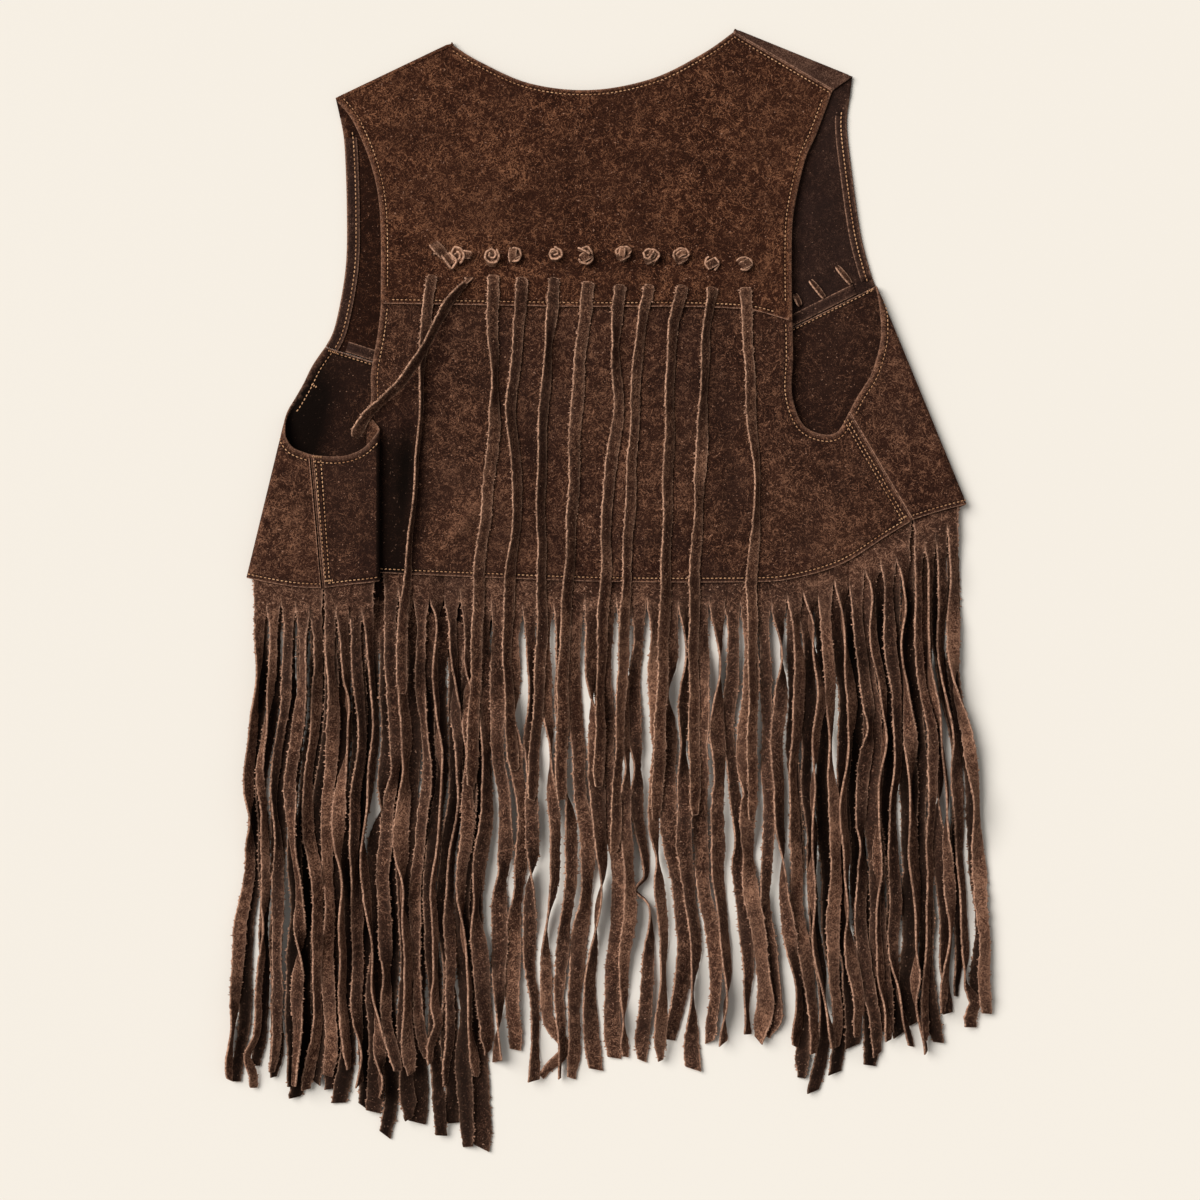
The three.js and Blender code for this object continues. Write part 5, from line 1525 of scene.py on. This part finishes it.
def strip_mesh(strip, thick, fuzz):
    """The mesh of a strip that has been laid down, closed by a pale cut end."""
    count = (len(strip["at"]) - 1) * PLACES_A_STEP
    at = finer(strip["at"], count)
    turn, left, right = (finer(strip[key], count) for key in ("turn", "left", "right"))
    turn, left, right = (v.reshape(-1) for v in (turn, left, right))
    opens = [finer(o, count).reshape(-1) for o in strip["open"]]
    seed = strip["seed"]
    random = np.random.default_rng(1000 + seed)
    left = left + random.normal(0, EDGE_UNEVEN, count + 1) * opens[0]
    right = right + random.normal(0, EDGE_UNEVEN, count + 1) * opens[1]
    across, normal = frames(at, turn)
    run = np.cross(across, normal)
    cup = 0.7 * (chance(seed, 53) - 0.35) * smooth(0.02, 0.2, np.linspace(0, 1, count + 1))
    nubs(fuzz, at, -run, across, left, right, opens, random)
    way = (at[-1] - at[-2]) / np.linalg.norm(at[-1] - at[-2])
    at = np.r_[at, [at[-1] + way * 0.35]]
    slant = 1.1 * (chance(seed, 54) - 0.5)
    across, normal = (np.r_[v, v[-1:]] for v in (across, normal))
    across[-4:] += slant * np.array([[0.3], [0.6], [1], [1]]) * way
    left, right = np.r_[left, left[-1] - 0.3], np.r_[right, right[-1] - 0.3]
    opens = [np.clip(np.r_[o, 1], 0, 1) for o in opens]
    thickness = np.full(len(at), float(thick))
    thickness[-1] *= 0.6
    v = np.linspace(0, 1, len(at))
    bare = np.sin(v * (17 + 20 * chance(seed, 55)) + 6 * chance(seed, 56))
    bare = 0.78 + 0.16 * bare + 0.16 * np.sin(v * 61 + 6 * chance(seed, 57))
    points, triangles, pale = ribbon(
        at, across, normal, left, right, thickness, *opens, np.r_[cup, cup[-1]], bare
    )
    pale[-len(SECTION):] = 1
    return points, triangles, pale


fringe_meshes, fuzz = {}, Gathered()
for order, fringe in enumerate(FRINGES):
    count = fringe[3]
    gathered = Gathered()
    for index in sorted(range(count), key=lambda i: (i % 2, i)):
        made = strand(fringe, order, index)
        made["at"] = lay(made, STRAND_THICKNESS)
        made["at"][:, 2] += 0.04 * (index % 2) * (1 - smooth(0.02, 0.1, made["v"]))
        points, triangles, pale = strip_mesh(made, STRAND_THICKNESS, fuzz)
        tone = STRAND_TONE + STRAND_TONE_SPREAD * chance(made["seed"], 60)
        # Painted shade: the fronts' fringes, which lie under the back's, are darker with dimmer rims,
        # and the lower strands of each fringe are darker.
        if order < 2:
            tone, pale = tone - FRONT_FRINGE_PAINTED_SHADE, FRONT_FRINGE_RIMS_IN_SHADE * pale
        tone -= 0 if index % 2 else LOWER_STRAND_PAINTED_SHADE
        down = np.linspace(0, 1, len(points) // len(SECTION))
        tone = np.repeat(mix(ROOT_TONE, tone, smooth(0.05, 0.16, down)), len(SECTION))
        gathered.add(points, triangles, pale, tone)
    fringe_meshes[fringe[0]] = gathered


def back_top(x, y):
    """The top of the back's cloth, and of what it leaves open."""
    cloth = back_level(x, y) + swell(x, y) + CLOTH / 2
    top = np.where(x > RIDGE_X, cloth, cloth + 2 * VALLEY_RADIUS)
    top = np.where(x > VALLEY_X - 3.5, top, CLOTH)
    top = np.where(y < back_hem_y(x), 0, top)
    return np.where(y > yoke_edge_y(x), yoke_level(x, y) + swell(x, y) + CLOTH / 2, top)


grid_x, grid_y = np.meshgrid(bed.x, bed.y)
bed.top = np.maximum(bed.top, back_top(grid_x, grid_y) + 0.1)

CROSSING = [
    (-99.8, 218.4), (-105, 212.6), (-111.5, 204.6), (-116.5, 196), (-122, 185),
    (-129, 170.5), (-142.1, 151.2), (-153, 140.5), (-161, 133.5), (-169.5, 124.5),
    (-177.1, 111.3),
]


GAP_UNDER_YOKE, GAP_OVER_YOKE = 0.5, 0.35
KNOT_FOOT = 2.2


def yoke_top(x, y):
    """The height of the yoke's outer face."""
    return float(yoke_level(x, y) + swell(x, y)) + CLOTH / 2


def threaded(knot, exit_at):
    """The way of a thong down by its knot, along under the yoke and up at its exit."""
    (kx, ky), (ex, ey) = knot, exit_at
    half, bend = THONG_THICKNESS / 2, SLIT_BEND
    slant = bend * math.sqrt(0.5)
    lowest = min(float(yoke_level(*knot)), float(yoke_level(*exit_at)))
    under = lowest - CLOTH / 2 - GAP_UNDER_YOKE - half
    over = yoke_top(*exit_at) + GAP_OVER_YOKE + half
    down = [
        (0, yoke_top(*knot) + KNOT_FOOT), (0, under + bend),
        (-bend + slant, under + bend - slant), (-bend, under),
    ]
    up = [
        (bend, under), (bend - slant, under + bend - slant), (0, under + bend),
        (0, over - bend), (-bend + slant, over - bend + slant), (-bend, over),
    ]
    return np.array([(kx, ky + y, z) for y, z in down] + [(ex, ey + y, z) for y, z in up])


TOP_ROUNDING = [0.36, 0.66, 0.84, 0.95, 1]


def thong_strip(index):
    """A thong's places, widths and turns, before it is laid down."""
    _, exit_at, end, route, turns = THONGS[index]
    if route:
        rows = [(h, x) for h, x in zip(ROUTE_HEIGHTS, route) if h > end[1] + 12]
        path = [(end[1], end[0]), *rows[::-1], (exit_at[1], exit_at[0])]
        start = exit_at[1] + 1.9
        y = np.linspace(start - 4.4, end[1], int((start - 4.4 - end[1]) / STRAND_STEP) + 1)
        y = np.r_[start - np.array([0, 0.35, 0.9, 1.7, 2.9]), y]
        x = height_at(path, y) + 0.45 * np.sin(y / 9 + index) * smooth(0, 20, start - y)
    else:
        share = np.r_[0, 0.005, 0.011, 0.02, np.linspace(0.035, 1, 28)]
        fine = spline(CROSSING, 200)
        x, y = (np.interp(share, np.linspace(0, 1, 201), fine[:, k]) for k in (0, 1))
    heights, degrees = np.array(turns[::-1], float).T
    turn = softened(np.radians(np.interp(y, heights, degrees)), TURN_WEIGHTS)
    v = np.linspace(0, 1, len(y))
    size = 0.94 + 0.14 * chance(index, 62)
    half = THONG_WIDTH / 2 * mix(1.14, 1.14 * size, smooth(4, 8, np.arange(len(y))))
    half[:5] *= TOP_ROUNDING if route else 0.8
    half = half + 0.25 * np.sin(y / 17 + 5 * chance(index, 63))
    half = half * (1 - 0.3 * smooth(0.97, 1, v))
    return {
        "at": np.c_[x, y, 0 * y], "turn": turn, "left": half, "right": half.copy(),
        "open": [np.ones(len(y)), np.ones(len(y))], "v": v, "seed": 900 + index, "fixed": 0,
    }


# How each knot lies. A coil stands on edge and widens from its foot to its rim: turns, start in
# degrees, hand, half width and half length of the rim, way from the foot to the rim, share of
# the rim's size at the foot, share of the size at the inner end, and height.
COILS = {
    1: (1.45, 102, -1, 4.9, 6.2, (0.2, 2.6), 0.62, 0.35, 5.8),
    2: (1.75, 140, 1, 5.2, 5.4, (0.2, 4.6), 0.62, 0.3, 5.8),
    3: (0.8, 120, -1, 4.8, 5.0, (0.8, 0.8), 0.8, 0.8, 4.8),
    4: (1.6, 240, 1, 4.9, 4.5, (0.3, 2.0), 0.72, 0.3, 4.8),
    5: (0.82, 140, -1, 5.2, 6.2, (-0.6, 1.6), 0.75, 0.85, 4.8),
    6: (1.3, 70, 1, 5.4, 3.5, (1.0, 5.8), 0.48, 0.5, 5.2),
    7: (1.45, 110, -1, 6.0, 4.4, (0.3, 4.8), 0.6, 0.4, 5.8),
    8: (1.4, 60, 1, 6.0, 3.9, (0.9, 6.4), 0.3, 0.42, 5.8),
    9: (0.34, 120, 1, 4.8, 5.0, (0.2, 0.8), 0.8, 0.95, 2.4),
    10: (0.78, 150, -1, 4.8, 4.6, (0.6, 1.4), 0.78, 0.8, 4.6),
}

# Loose ends and loops at the knots: knot, half width, turn about the run at the start and end in
# degrees, tone, and places from the knot's middle.
LOOSE_ENDS = [
    (0, 4.2, 26, 32, FLAP_TONE, [(4.4, -1.6, 2.8), (2, 1.4, 4.6), (-0.8, 4.2, 5.4), (-3.2, 6.8, 4.6)]),
    (0, 2.3, 8, 8, FLAP_TONE, [(4.4, 0.4, 2.6), (6.6, -2.6, 3.0), (10.2, -7.4, 2.4)]),
    (0, 1.5, 76, 76, KNOT_TONE_PAINTED_LIGHT, [
        (1.8, -0.6, 3.4), (5.4, -5.4, 4.2), (9.6, -10.6, 3.6), (11.4, -8.8, 3.4), (13.4, -5.2, 3.8),
        (10.8, -2.0, 4.4), (8.0, 0.6, 4.0)]),
    (1, 3.0, 14, 30, FLAP_TONE, [(2.6, 2.4, 2.4), (5.4, 2.2, 3.4), (8.2, 1.8, 3.8), (10.2, 1.6, 3.4)]),
    (3, 2.9, 4, -8, KNOT_TONE_PAINTED_LIGHT, [(-1.0, 4.2, 5.2), (-1.6, 1.4, 5.0), (-1.6, -2.4, 3.8),
                                (-1.4, -4.8, 2.6)]),
    (5, 1.7, 62, 70, KNOT_TONE_PAINTED_LIGHT, [(-5.4, 5.4, 4.4), (-1.6, 3.6, 5.6), (2.6, 1.4, 5.4)]),
    (6, 2.2, 12, 10, KNOT_TONE_PAINTED_LIGHT, [(-0.2, 4.8, 4.4), (-0.6, 2.0, 5.6), (-0.6, -0.8, 4.6)]),
    (7, 1.9, 40, 60, KNOT_TONE_PAINTED_LIGHT, [(2.0, 5.4, 4.6), (0.6, 2.6, 5.6), (-0.8, 0.6, 4.4)]),
    (8, 2.1, 10, -18, KNOT_TONE_PAINTED_LIGHT, [(-2.6, 1.6, 4.2), (0.2, 3.4, 6.0), (3.2, 3.8, 5.0)]),
    (9, 0.9, 84, 80, KNOT_TONE_PAINTED_LIGHT, [(1.6, 4.2, 1.8), (4.6, 0.2, 2.0), (1.8, -4.8, 1.6)]),
    (10, 1.9, -16, -34, KNOT_TONE_PAINTED_LIGHT, [(-0.6, 3.4, 5.4), (-2.8, 3.2, 5.0), (-5.2, 1.8, 3.4)]),
]

# The suede that lies folded inside each knot, below its rim, and how much higher it lies in some.
KNOT_CORE = [(-3.0, -1.6, 1.6), (-0.8, -0.4, 3.0), (1.6, 0.8, 2.9), (3.2, 1.8, 1.7)]
HIGH_CORES = {3: 1.0, 5: 1.6, 6: 1.0, 10: 1.5}
CORE_HALF, CORE_TURN = 3.2, 8
CORE_TONE, HIGH_CORE_TONE = 0.4, 0.7
COIL_FOOT = 0.5


def coil(index):
    """A thong's end wound on edge round itself."""
    cx, cy = THONGS[index][0]
    turns, start, hand, wide, long, tilt, foot, inner, height = COILS[index]
    v = np.linspace(0, 1, 64)
    angle = math.radians(start) + hand * 2 * math.pi * turns * v
    size = mix(inner, 1, smooth(0, 0.85, v)) * (1 + 0.05 * np.sin(3 * angle + 2 * index))
    size = size + 0.03 * np.sin(7 * angle + index)
    rim = np.c_[
        cx + tilt[0] / 2 + wide * size * np.cos(angle),
        cy + tilt[1] / 2 + long * size * np.sin(angle), 0 * v,
    ]
    low = np.c_[
        cx - tilt[0] / 2 + foot * wide * size * np.cos(angle),
        cy - tilt[1] / 2 + foot * long * size * np.sin(angle), 0 * v,
    ]
    base = yoke_top(cx, cy)
    low[:, 2] = base + COIL_FOOT
    rim[:, 2] = base + height * (0.9 + 0.1 * np.sin(2 * angle + index)) * mix(0.82, 1, v)
    drift = (1 - v)[:, None] * [0.5 * math.cos(index), 0.9, 0]
    rim, low = rim + drift, low + 0.5 * drift
    at = (rim + low) / 2
    across = rim - low
    half = np.linalg.norm(across, axis=1) / 2
    across /= 2 * half[:, None]
    normal = unit(np.cross(np.gradient(at, axis=0), across))
    return ribbon(at, across, normal, half, half, KNOT_THICKNESS, bare=KNOT_BARE)


def loose_end(index, half, turn_from, turn_to, places):
    """A free end, loop or fold of a thong at its knot."""
    cx, cy = THONGS[index][0]
    at, _ = resampled(spline(np.array(places) + [cx, cy, yoke_top(cx, cy)], 40), 0.9)
    turn = np.radians(np.linspace(turn_from, turn_to, len(at)))
    across, normal = frames(at, turn)
    taper = 1 - 0.12 * np.abs(np.linspace(-1, 1, len(at))) ** 4
    return ribbon(at, across, normal, half * taper, half * taper, KNOT_THICKNESS, cup=0.3,
                  bare=KNOT_BARE)


thong_meshes = []
for index, row in enumerate(THONGS):
    strip = thong_strip(index)
    strip["at"] = lay(strip, THONG_THICKNESS)
    gathered = Gathered()
    tone = THONG_TONE + THONG_TONE_SPREAD * chance(index, 61)
    way = threaded(*row[:2])
    half = THONG_WIDTH / 2 - 0.3
    if row[3]:
        strip["turn"] = strip["turn"] * smooth(0, 6, np.arange(len(strip["turn"])))
    points, triangles, pale = strip_mesh(strip, THONG_THICKNESS, fuzz)
    pale[:2 * len(SECTION)] = np.maximum(pale[:2 * len(SECTION)], 0.8)
    gathered.add(points, triangles, pale, tone)
    dip = np.r_[way, strip["at"][2:4] - [0, 0, 0.5]]
    side = np.tile([1.0, 0.0, 0.0], (len(dip), 1))
    out = unit(np.cross(unit(np.gradient(dip, axis=0)), side))
    half = np.r_[np.full(len(dip) - 4, half), 2.6, 2.2, 1.8, 1.5]
    gathered.add(*ribbon(dip, side, out, half, half, THONG_THICKNESS - 0.06), tone=tone)
    if index in COILS:
        # The coil's lighter tone is painted light on its walls.
        gathered.add(*coil(index), tone=KNOT_TONE_PAINTED_LIGHT)
    if index:
        core = np.array(KNOT_CORE) + [0, 0, HIGH_CORES.get(index, 0)]
        core_tone = HIGH_CORE_TONE if index in HIGH_CORES else CORE_TONE
        gathered.add(*loose_end(index, CORE_HALF, CORE_TURN, -CORE_TURN, core), tone=core_tone)
    for number, half, turn_from, turn_to, end_tone, places in LOOSE_ENDS:
        if number == index:
            gathered.add(*loose_end(index, half, turn_from, turn_to, places), tone=end_tone)
    thong_meshes.append(gathered)

# Sewing

STITCH_RINGS = [
    (-0.5, 0.3, -0.4), (-0.33, 0.85, 0.05), (0, 1.0, 0.15), (0.33, 0.85, 0.05), (0.5, 0.3, -0.4),
]
STITCH_SIDES = 6


def stitches(gathered, at, run, across, normal):
    """A row of short thread bumps that dip into the suede at both ends."""
    shape, m = [], STITCH_SIDES
    for along_run, size, lift in STITCH_RINGS:
        for turn in np.linspace(0, 2 * math.pi, m, endpoint=False):
            shape.append((
                along_run * STITCH_LENGTH, size * STITCH_RADIUS * 1.1 * math.cos(turn),
                STITCH_RADIUS * (size * 0.8 * math.sin(turn) + lift),
            ))
    faces = []
    for i in range(len(STITCH_RINGS) - 1):
        for k in range(m):
            a, b = i * m + k, i * m + (k + 1) % m
            faces += [(a, a + m, b + m), (a, b + m, b)]
    last = (len(STITCH_RINGS) - 1) * m
    faces += [(0, j, j + 1) for j in range(1, m - 1)]
    faces += [(last, last + j + 1, last + j) for j in range(1, m - 1)]
    shape = np.array(shape)
    faces = outward(shape, np.array(faces))
    points = (
        at[:, None, :] + shape[None, :, :1] * run[:, None, :]
        + shape[None, :, 1:2] * across[:, None, :] + shape[None, :, 2:] * normal[:, None, :]
    )
    triangles = faces[None] + (np.arange(len(at)) * len(shape))[:, None, None]
    gathered.add(points.reshape(-1, 3), triangles.reshape(-1, 3))


def stitch_row(gathered, panel, line, outer=True, above=0.03):
    """Stitches along a line of a panel's pattern."""
    flat, _ = resampled(np.array(line, float), 0.5)
    at, normal = panel.on_face(flat, outer, above)
    both, _ = resampled(np.c_[at, normal], STITCH_PITCH)
    at, normal = both[:, :3], both[:, 3:]
    run = unit(np.gradient(at, axis=0))
    across = unit(np.cross(normal, run))
    run = run + across * np.random.default_rng(len(at)).normal(0, 0.07, (len(at), 1))
    stitches(gathered, at, run, across, np.cross(run, across))


def tape(gathered, panel, line, width, tone, outer=True, thick=0.9):
    """A strip of suede lying on a panel's face, such as a seam allowance."""
    flat, _ = resampled(np.array(line, float), 2.5)
    at, normal = panel.on_face(flat, outer, TAPE_GAP + thick / 2)
    run = unit(np.gradient(at, axis=0))
    across = unit(np.cross(normal, run))
    half = width / 2
    made = ribbon(at, across, np.cross(run, across), half, half, thick, bare=TAPE_BARE)
    gathered.add(*made, tone=tone)


def bartack(gathered, panel, start, end, outer=True):
    """A short bar of close stitches across the end of a seam, from and to a place on a panel."""
    count = max(3, round(math.dist(start, end) / BARTACK_PITCH))
    flat = mix(np.array(start, float), np.array(end, float), np.linspace(0, 1, count)[:, None])
    at, normal = panel.on_face(flat, outer, BARTACK_HEIGHT)
    bar = at[-1] - at[0]
    across = np.tile(bar / np.linalg.norm(bar), (count, 1))
    run = np.cross(across, normal)
    run *= BARTACK_SHARE / np.linalg.norm(run, axis=1)[:, None]
    stitches(gathered, at, run, across, normal)


back_sewing, side_sewing, inner_sewing = Gathered(), Gathered(), Gathered()
for line in yoke_rows:
    stitch_row(back_sewing, back_yoke, line)
for line in panel_rows:
    stitch_row(back_sewing, back_panel, line)
for panel, lines in ((front_left, left_rows), (front_right, right_rows)):
    for line in lines:
        stitch_row(side_sewing, panel, line)
for panel, lines, above in (
    (front_left, left_inner, 0.03), (front_right, right_inner, 0.03),
    (front_yoke_left, yoke_left_inner, 1.55), (front_yoke_right, yoke_right_inner, 1.55),
):
    for line in lines:
        stitch_row(inner_sewing, panel, line, outer=False, above=above)

# Bartacks at the ends of the side seams, and inside the armholes.
for start, end in (
    ((over_pleat(-206.0), 97.4), (over_pleat(-200.4), 97.0)),
    ((over_pleat(-197.4), 10.4), (over_pleat(-192.4), 10.8)),
    ((-208.4, 55.6), (-204.2, 53.0)),
):
    bartack(back_sewing, back_panel, start, end)
for panel, fold, start, end in (
    (front_left, left_side, (-195.6, 172.0), (-190.6, 170.4)),
    (front_left, left_side, (-207.4, 148.2), (-204.6, 146.6)),
    (front_right, right_side, (182.2, 213.6), (186.4, 215.4)),
):
    flat = fold.pattern(np.array([start, end]))
    bartack(inner_sewing, panel, flat[0], flat[1], outer=False)

# Turned allowances on the inner faces of the fronts, and the ridge of the left side seam.
SEAM_TURN = 7.6
allowances = {"front_yoke_left": Gathered(), "front_yoke_right": Gathered(),
              "front_panel_left": Gathered()}
for key, panel, fold, armhole, low, turn, seam in (
    ("front_yoke_left", front_yoke_left, left_shoulder, yoke_left_edges[0], 0.02, 9.6,
     YOKE_SEAM_LEFT),
    ("front_yoke_right", front_yoke_right, right_shoulder, yoke_right_edges[0], 0.05, 8.8,
     YOKE_SEAM_RIGHT),
):
    edge = inset(along(armhole, low, 0.9), turn / 2, panel.outline)
    tape(allowances[key], panel, edge, turn - 0.8, 0.34, outer=False)
    edge = fold.pattern(seam)
    edge = mix(edge[0], edge[1], np.linspace(0.1, 0.55, 8)[:, None])
    edge = inset(edge, SEAM_TURN / 2 + 0.6, panel.outline)
    tape(allowances[key], panel, edge, SEAM_TURN, 0.3, outer=False)
tape(
    allowances["front_panel_left"], front_left,
    inset(along(left_edges[4], 0.02, 0.98), 1.5, front_left.outline), 2.2, 0.6, thick=1.0,
)

# The pieces


def dress(gathered, name, material, slot=None, node=None):
    """Makes a piece, and says what it rides on and which node it replaces. The slot is not used."""
    made = gathered.make("vest_" + name, material)
    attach(made, "root")
    if node:
        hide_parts(node)
    return made


sheets = {}
for key, panel, material, slot_name in (
    ("back_yoke", back_yoke, yoke_suede, "suede_yoke"),
    ("back_panel", back_panel, panel_suede, "suede_panel"),
    ("front_yoke_left", front_yoke_left, yoke_suede, "suede_front"),
    ("front_yoke_right", front_yoke_right, front_suede, "suede_front"),
    ("front_panel_left", front_left, panel_suede, "suede_front"),
    ("front_panel_right", front_right, panel_suede, "suede_front"),
):
    gathered = Gathered().add(panel.points, panel.triangles, panel.pale, panel.tone)
    sheets[key] = (dress(gathered, key, material, slot_name, key), panel)

turned_pieces = {}
for key, gathered in allowances.items():
    material = panel_suede if key == "front_panel_left" else front_suede
    turned_pieces[key] = dress(gathered, "allowance_" + key, material, "suede_front")

fringe_pieces = {}
for key, gathered in fringe_meshes.items():
    fringe_pieces[key] = dress(gathered, key, fringe_suede, "suede_fringe", key)
dress(fuzz, "tufts", fringe_suede, "suede_fringe")

thong_pieces = []
for index, gathered in enumerate(thong_meshes):
    node = f"thong_{index + 1:02d}"
    thong_pieces.append(dress(gathered, node, thong_suede, "suede_thong", node))

# Short loops of the fronts' own thongs, on the inner side of the right front yoke.
LOOP_WIDTH = 4.8
LOOP_BULGE = 1.5
INNER_LOOPS = [
    (160.3, 231, 170.2, 218.9), (141.8, 221.2, 151.6, 209.1), (130.9, 211.4, 134.6, 203.6),
]
loop_pieces = []
for index, (ax, ay, bx, by) in enumerate(INNER_LOOPS):
    v = np.linspace(0, 1, 26)
    arch = np.sin(math.pi * v)
    level = CLOTH + 0.3 + THONG_THICKNESS / 2 + 0.4
    at = np.c_[mix(ax, bx, v), mix(ay, by, v), level + LOOP_BULGE * arch ** 0.8]
    across, normal = frames(at, -0.25 - 0.2 * arch)
    half = LOOP_WIDTH / 2 * (0.55 + 0.45 * arch ** 0.5)
    loop = Gathered().add(*ribbon(at, across, normal, half, half, THONG_THICKNESS), tone=0.3)
    node = f"inner_loop_{index + 1}"
    loop_pieces.append(dress(loop, node, thong_suede, "suede_thong", node))

sewing = [
    dress(gathered, key, thread)
    for key, gathered in (
        ("stitches_back", back_sewing), ("stitches_sides", side_sewing),
        ("stitches_inside", inner_sewing),
    )
]

# What each sheet lies on, and what is sewn to it.
SEWN_ON = {
    "back_yoke": [*thong_pieces],
    "back_panel": [
        fringe_pieces["fringe_back"], fringe_pieces["fringe_back_left"], sewing[0],
    ],
    "front_panel_left": [
        fringe_pieces["fringe_front_left"], fringe_pieces["fringe_side_left"], sewing[1],
        turned_pieces["front_panel_left"],
    ],
    "front_panel_right": [
        fringe_pieces["fringe_front_right"], fringe_pieces["fringe_side_right"],
    ],
    "front_yoke_left": [sewing[2], turned_pieces["front_yoke_left"]],
    "front_yoke_right": [*loop_pieces, turned_pieces["front_yoke_right"]],
}
for key, (made, panel) in sheets.items():
    round(panel.area() * MM * MM, 5)
    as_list(SEWN_ON[key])

# Floor, light and camera

FLOOR_SIZE, FLOOR_DROP = 12, 0.0004
SKY_TONE, SKY_STRENGTH = (1.0, 0.99, 0.97, 1), 0.3
SUN_TONE, SUN_STRENGTH, SUN_SPREAD = (1.0, 0.985, 0.96), 3.5, 44
SUN_WAY = Vector((0.7, -0.4, -0.8))

bpy.ops.mesh.primitive_plane_add(size=FLOOR_SIZE, location=(0, 0, -FLOOR_DROP))
floor = bpy.context.object
floor.name = "floor"
floor.data.materials.append(floor_material())

world = bpy.data.worlds.new("studio")
world.use_nodes = True
sky = world.node_tree.nodes["Background"]
sky.inputs["Color"].default_value = SKY_TONE
sky.inputs["Strength"].default_value = SKY_STRENGTH
bpy.context.scene.world = world

sun = bpy.data.lights.new("key", "SUN")
sun.energy = SUN_STRENGTH
sun.angle = math.radians(SUN_SPREAD)
sun.color = SUN_TONE
key_light = bpy.data.objects.new("key", sun)
key_light.rotation_mode = "QUATERNION"
key_light.rotation_quaternion = SUN_WAY.to_track_quat("-Z", "Y")
bpy.context.scene.collection.objects.link(key_light)

# The camera looks straight down. The picture is 1200 pixels wide at 0.7 mm a pixel.
PICTURE_WIDTH = 1200 * 0.7 * MM
LENS, SENSOR = 100.0, 36.0
FOCUS_HEIGHT = 6 * MM
PICTURE_MIDDLE = np.array([-5.6, -2.8, 0]) - MIDDLE
camera = bpy.data.cameras.new("camera")
camera.lens, camera.sensor_width = LENS, SENSOR
camera.clip_start, camera.clip_end = 0.1, 60
view = bpy.data.objects.new("camera", camera)
view.location = (
    PICTURE_MIDDLE[0] * MM, PICTURE_MIDDLE[1] * MM, FOCUS_HEIGHT + PICTURE_WIDTH * LENS / SENSOR
)
bpy.context.scene.collection.objects.link(view)
bpy.context.scene.camera = view
bpy.context.scene.view_settings.view_transform = "Standard"
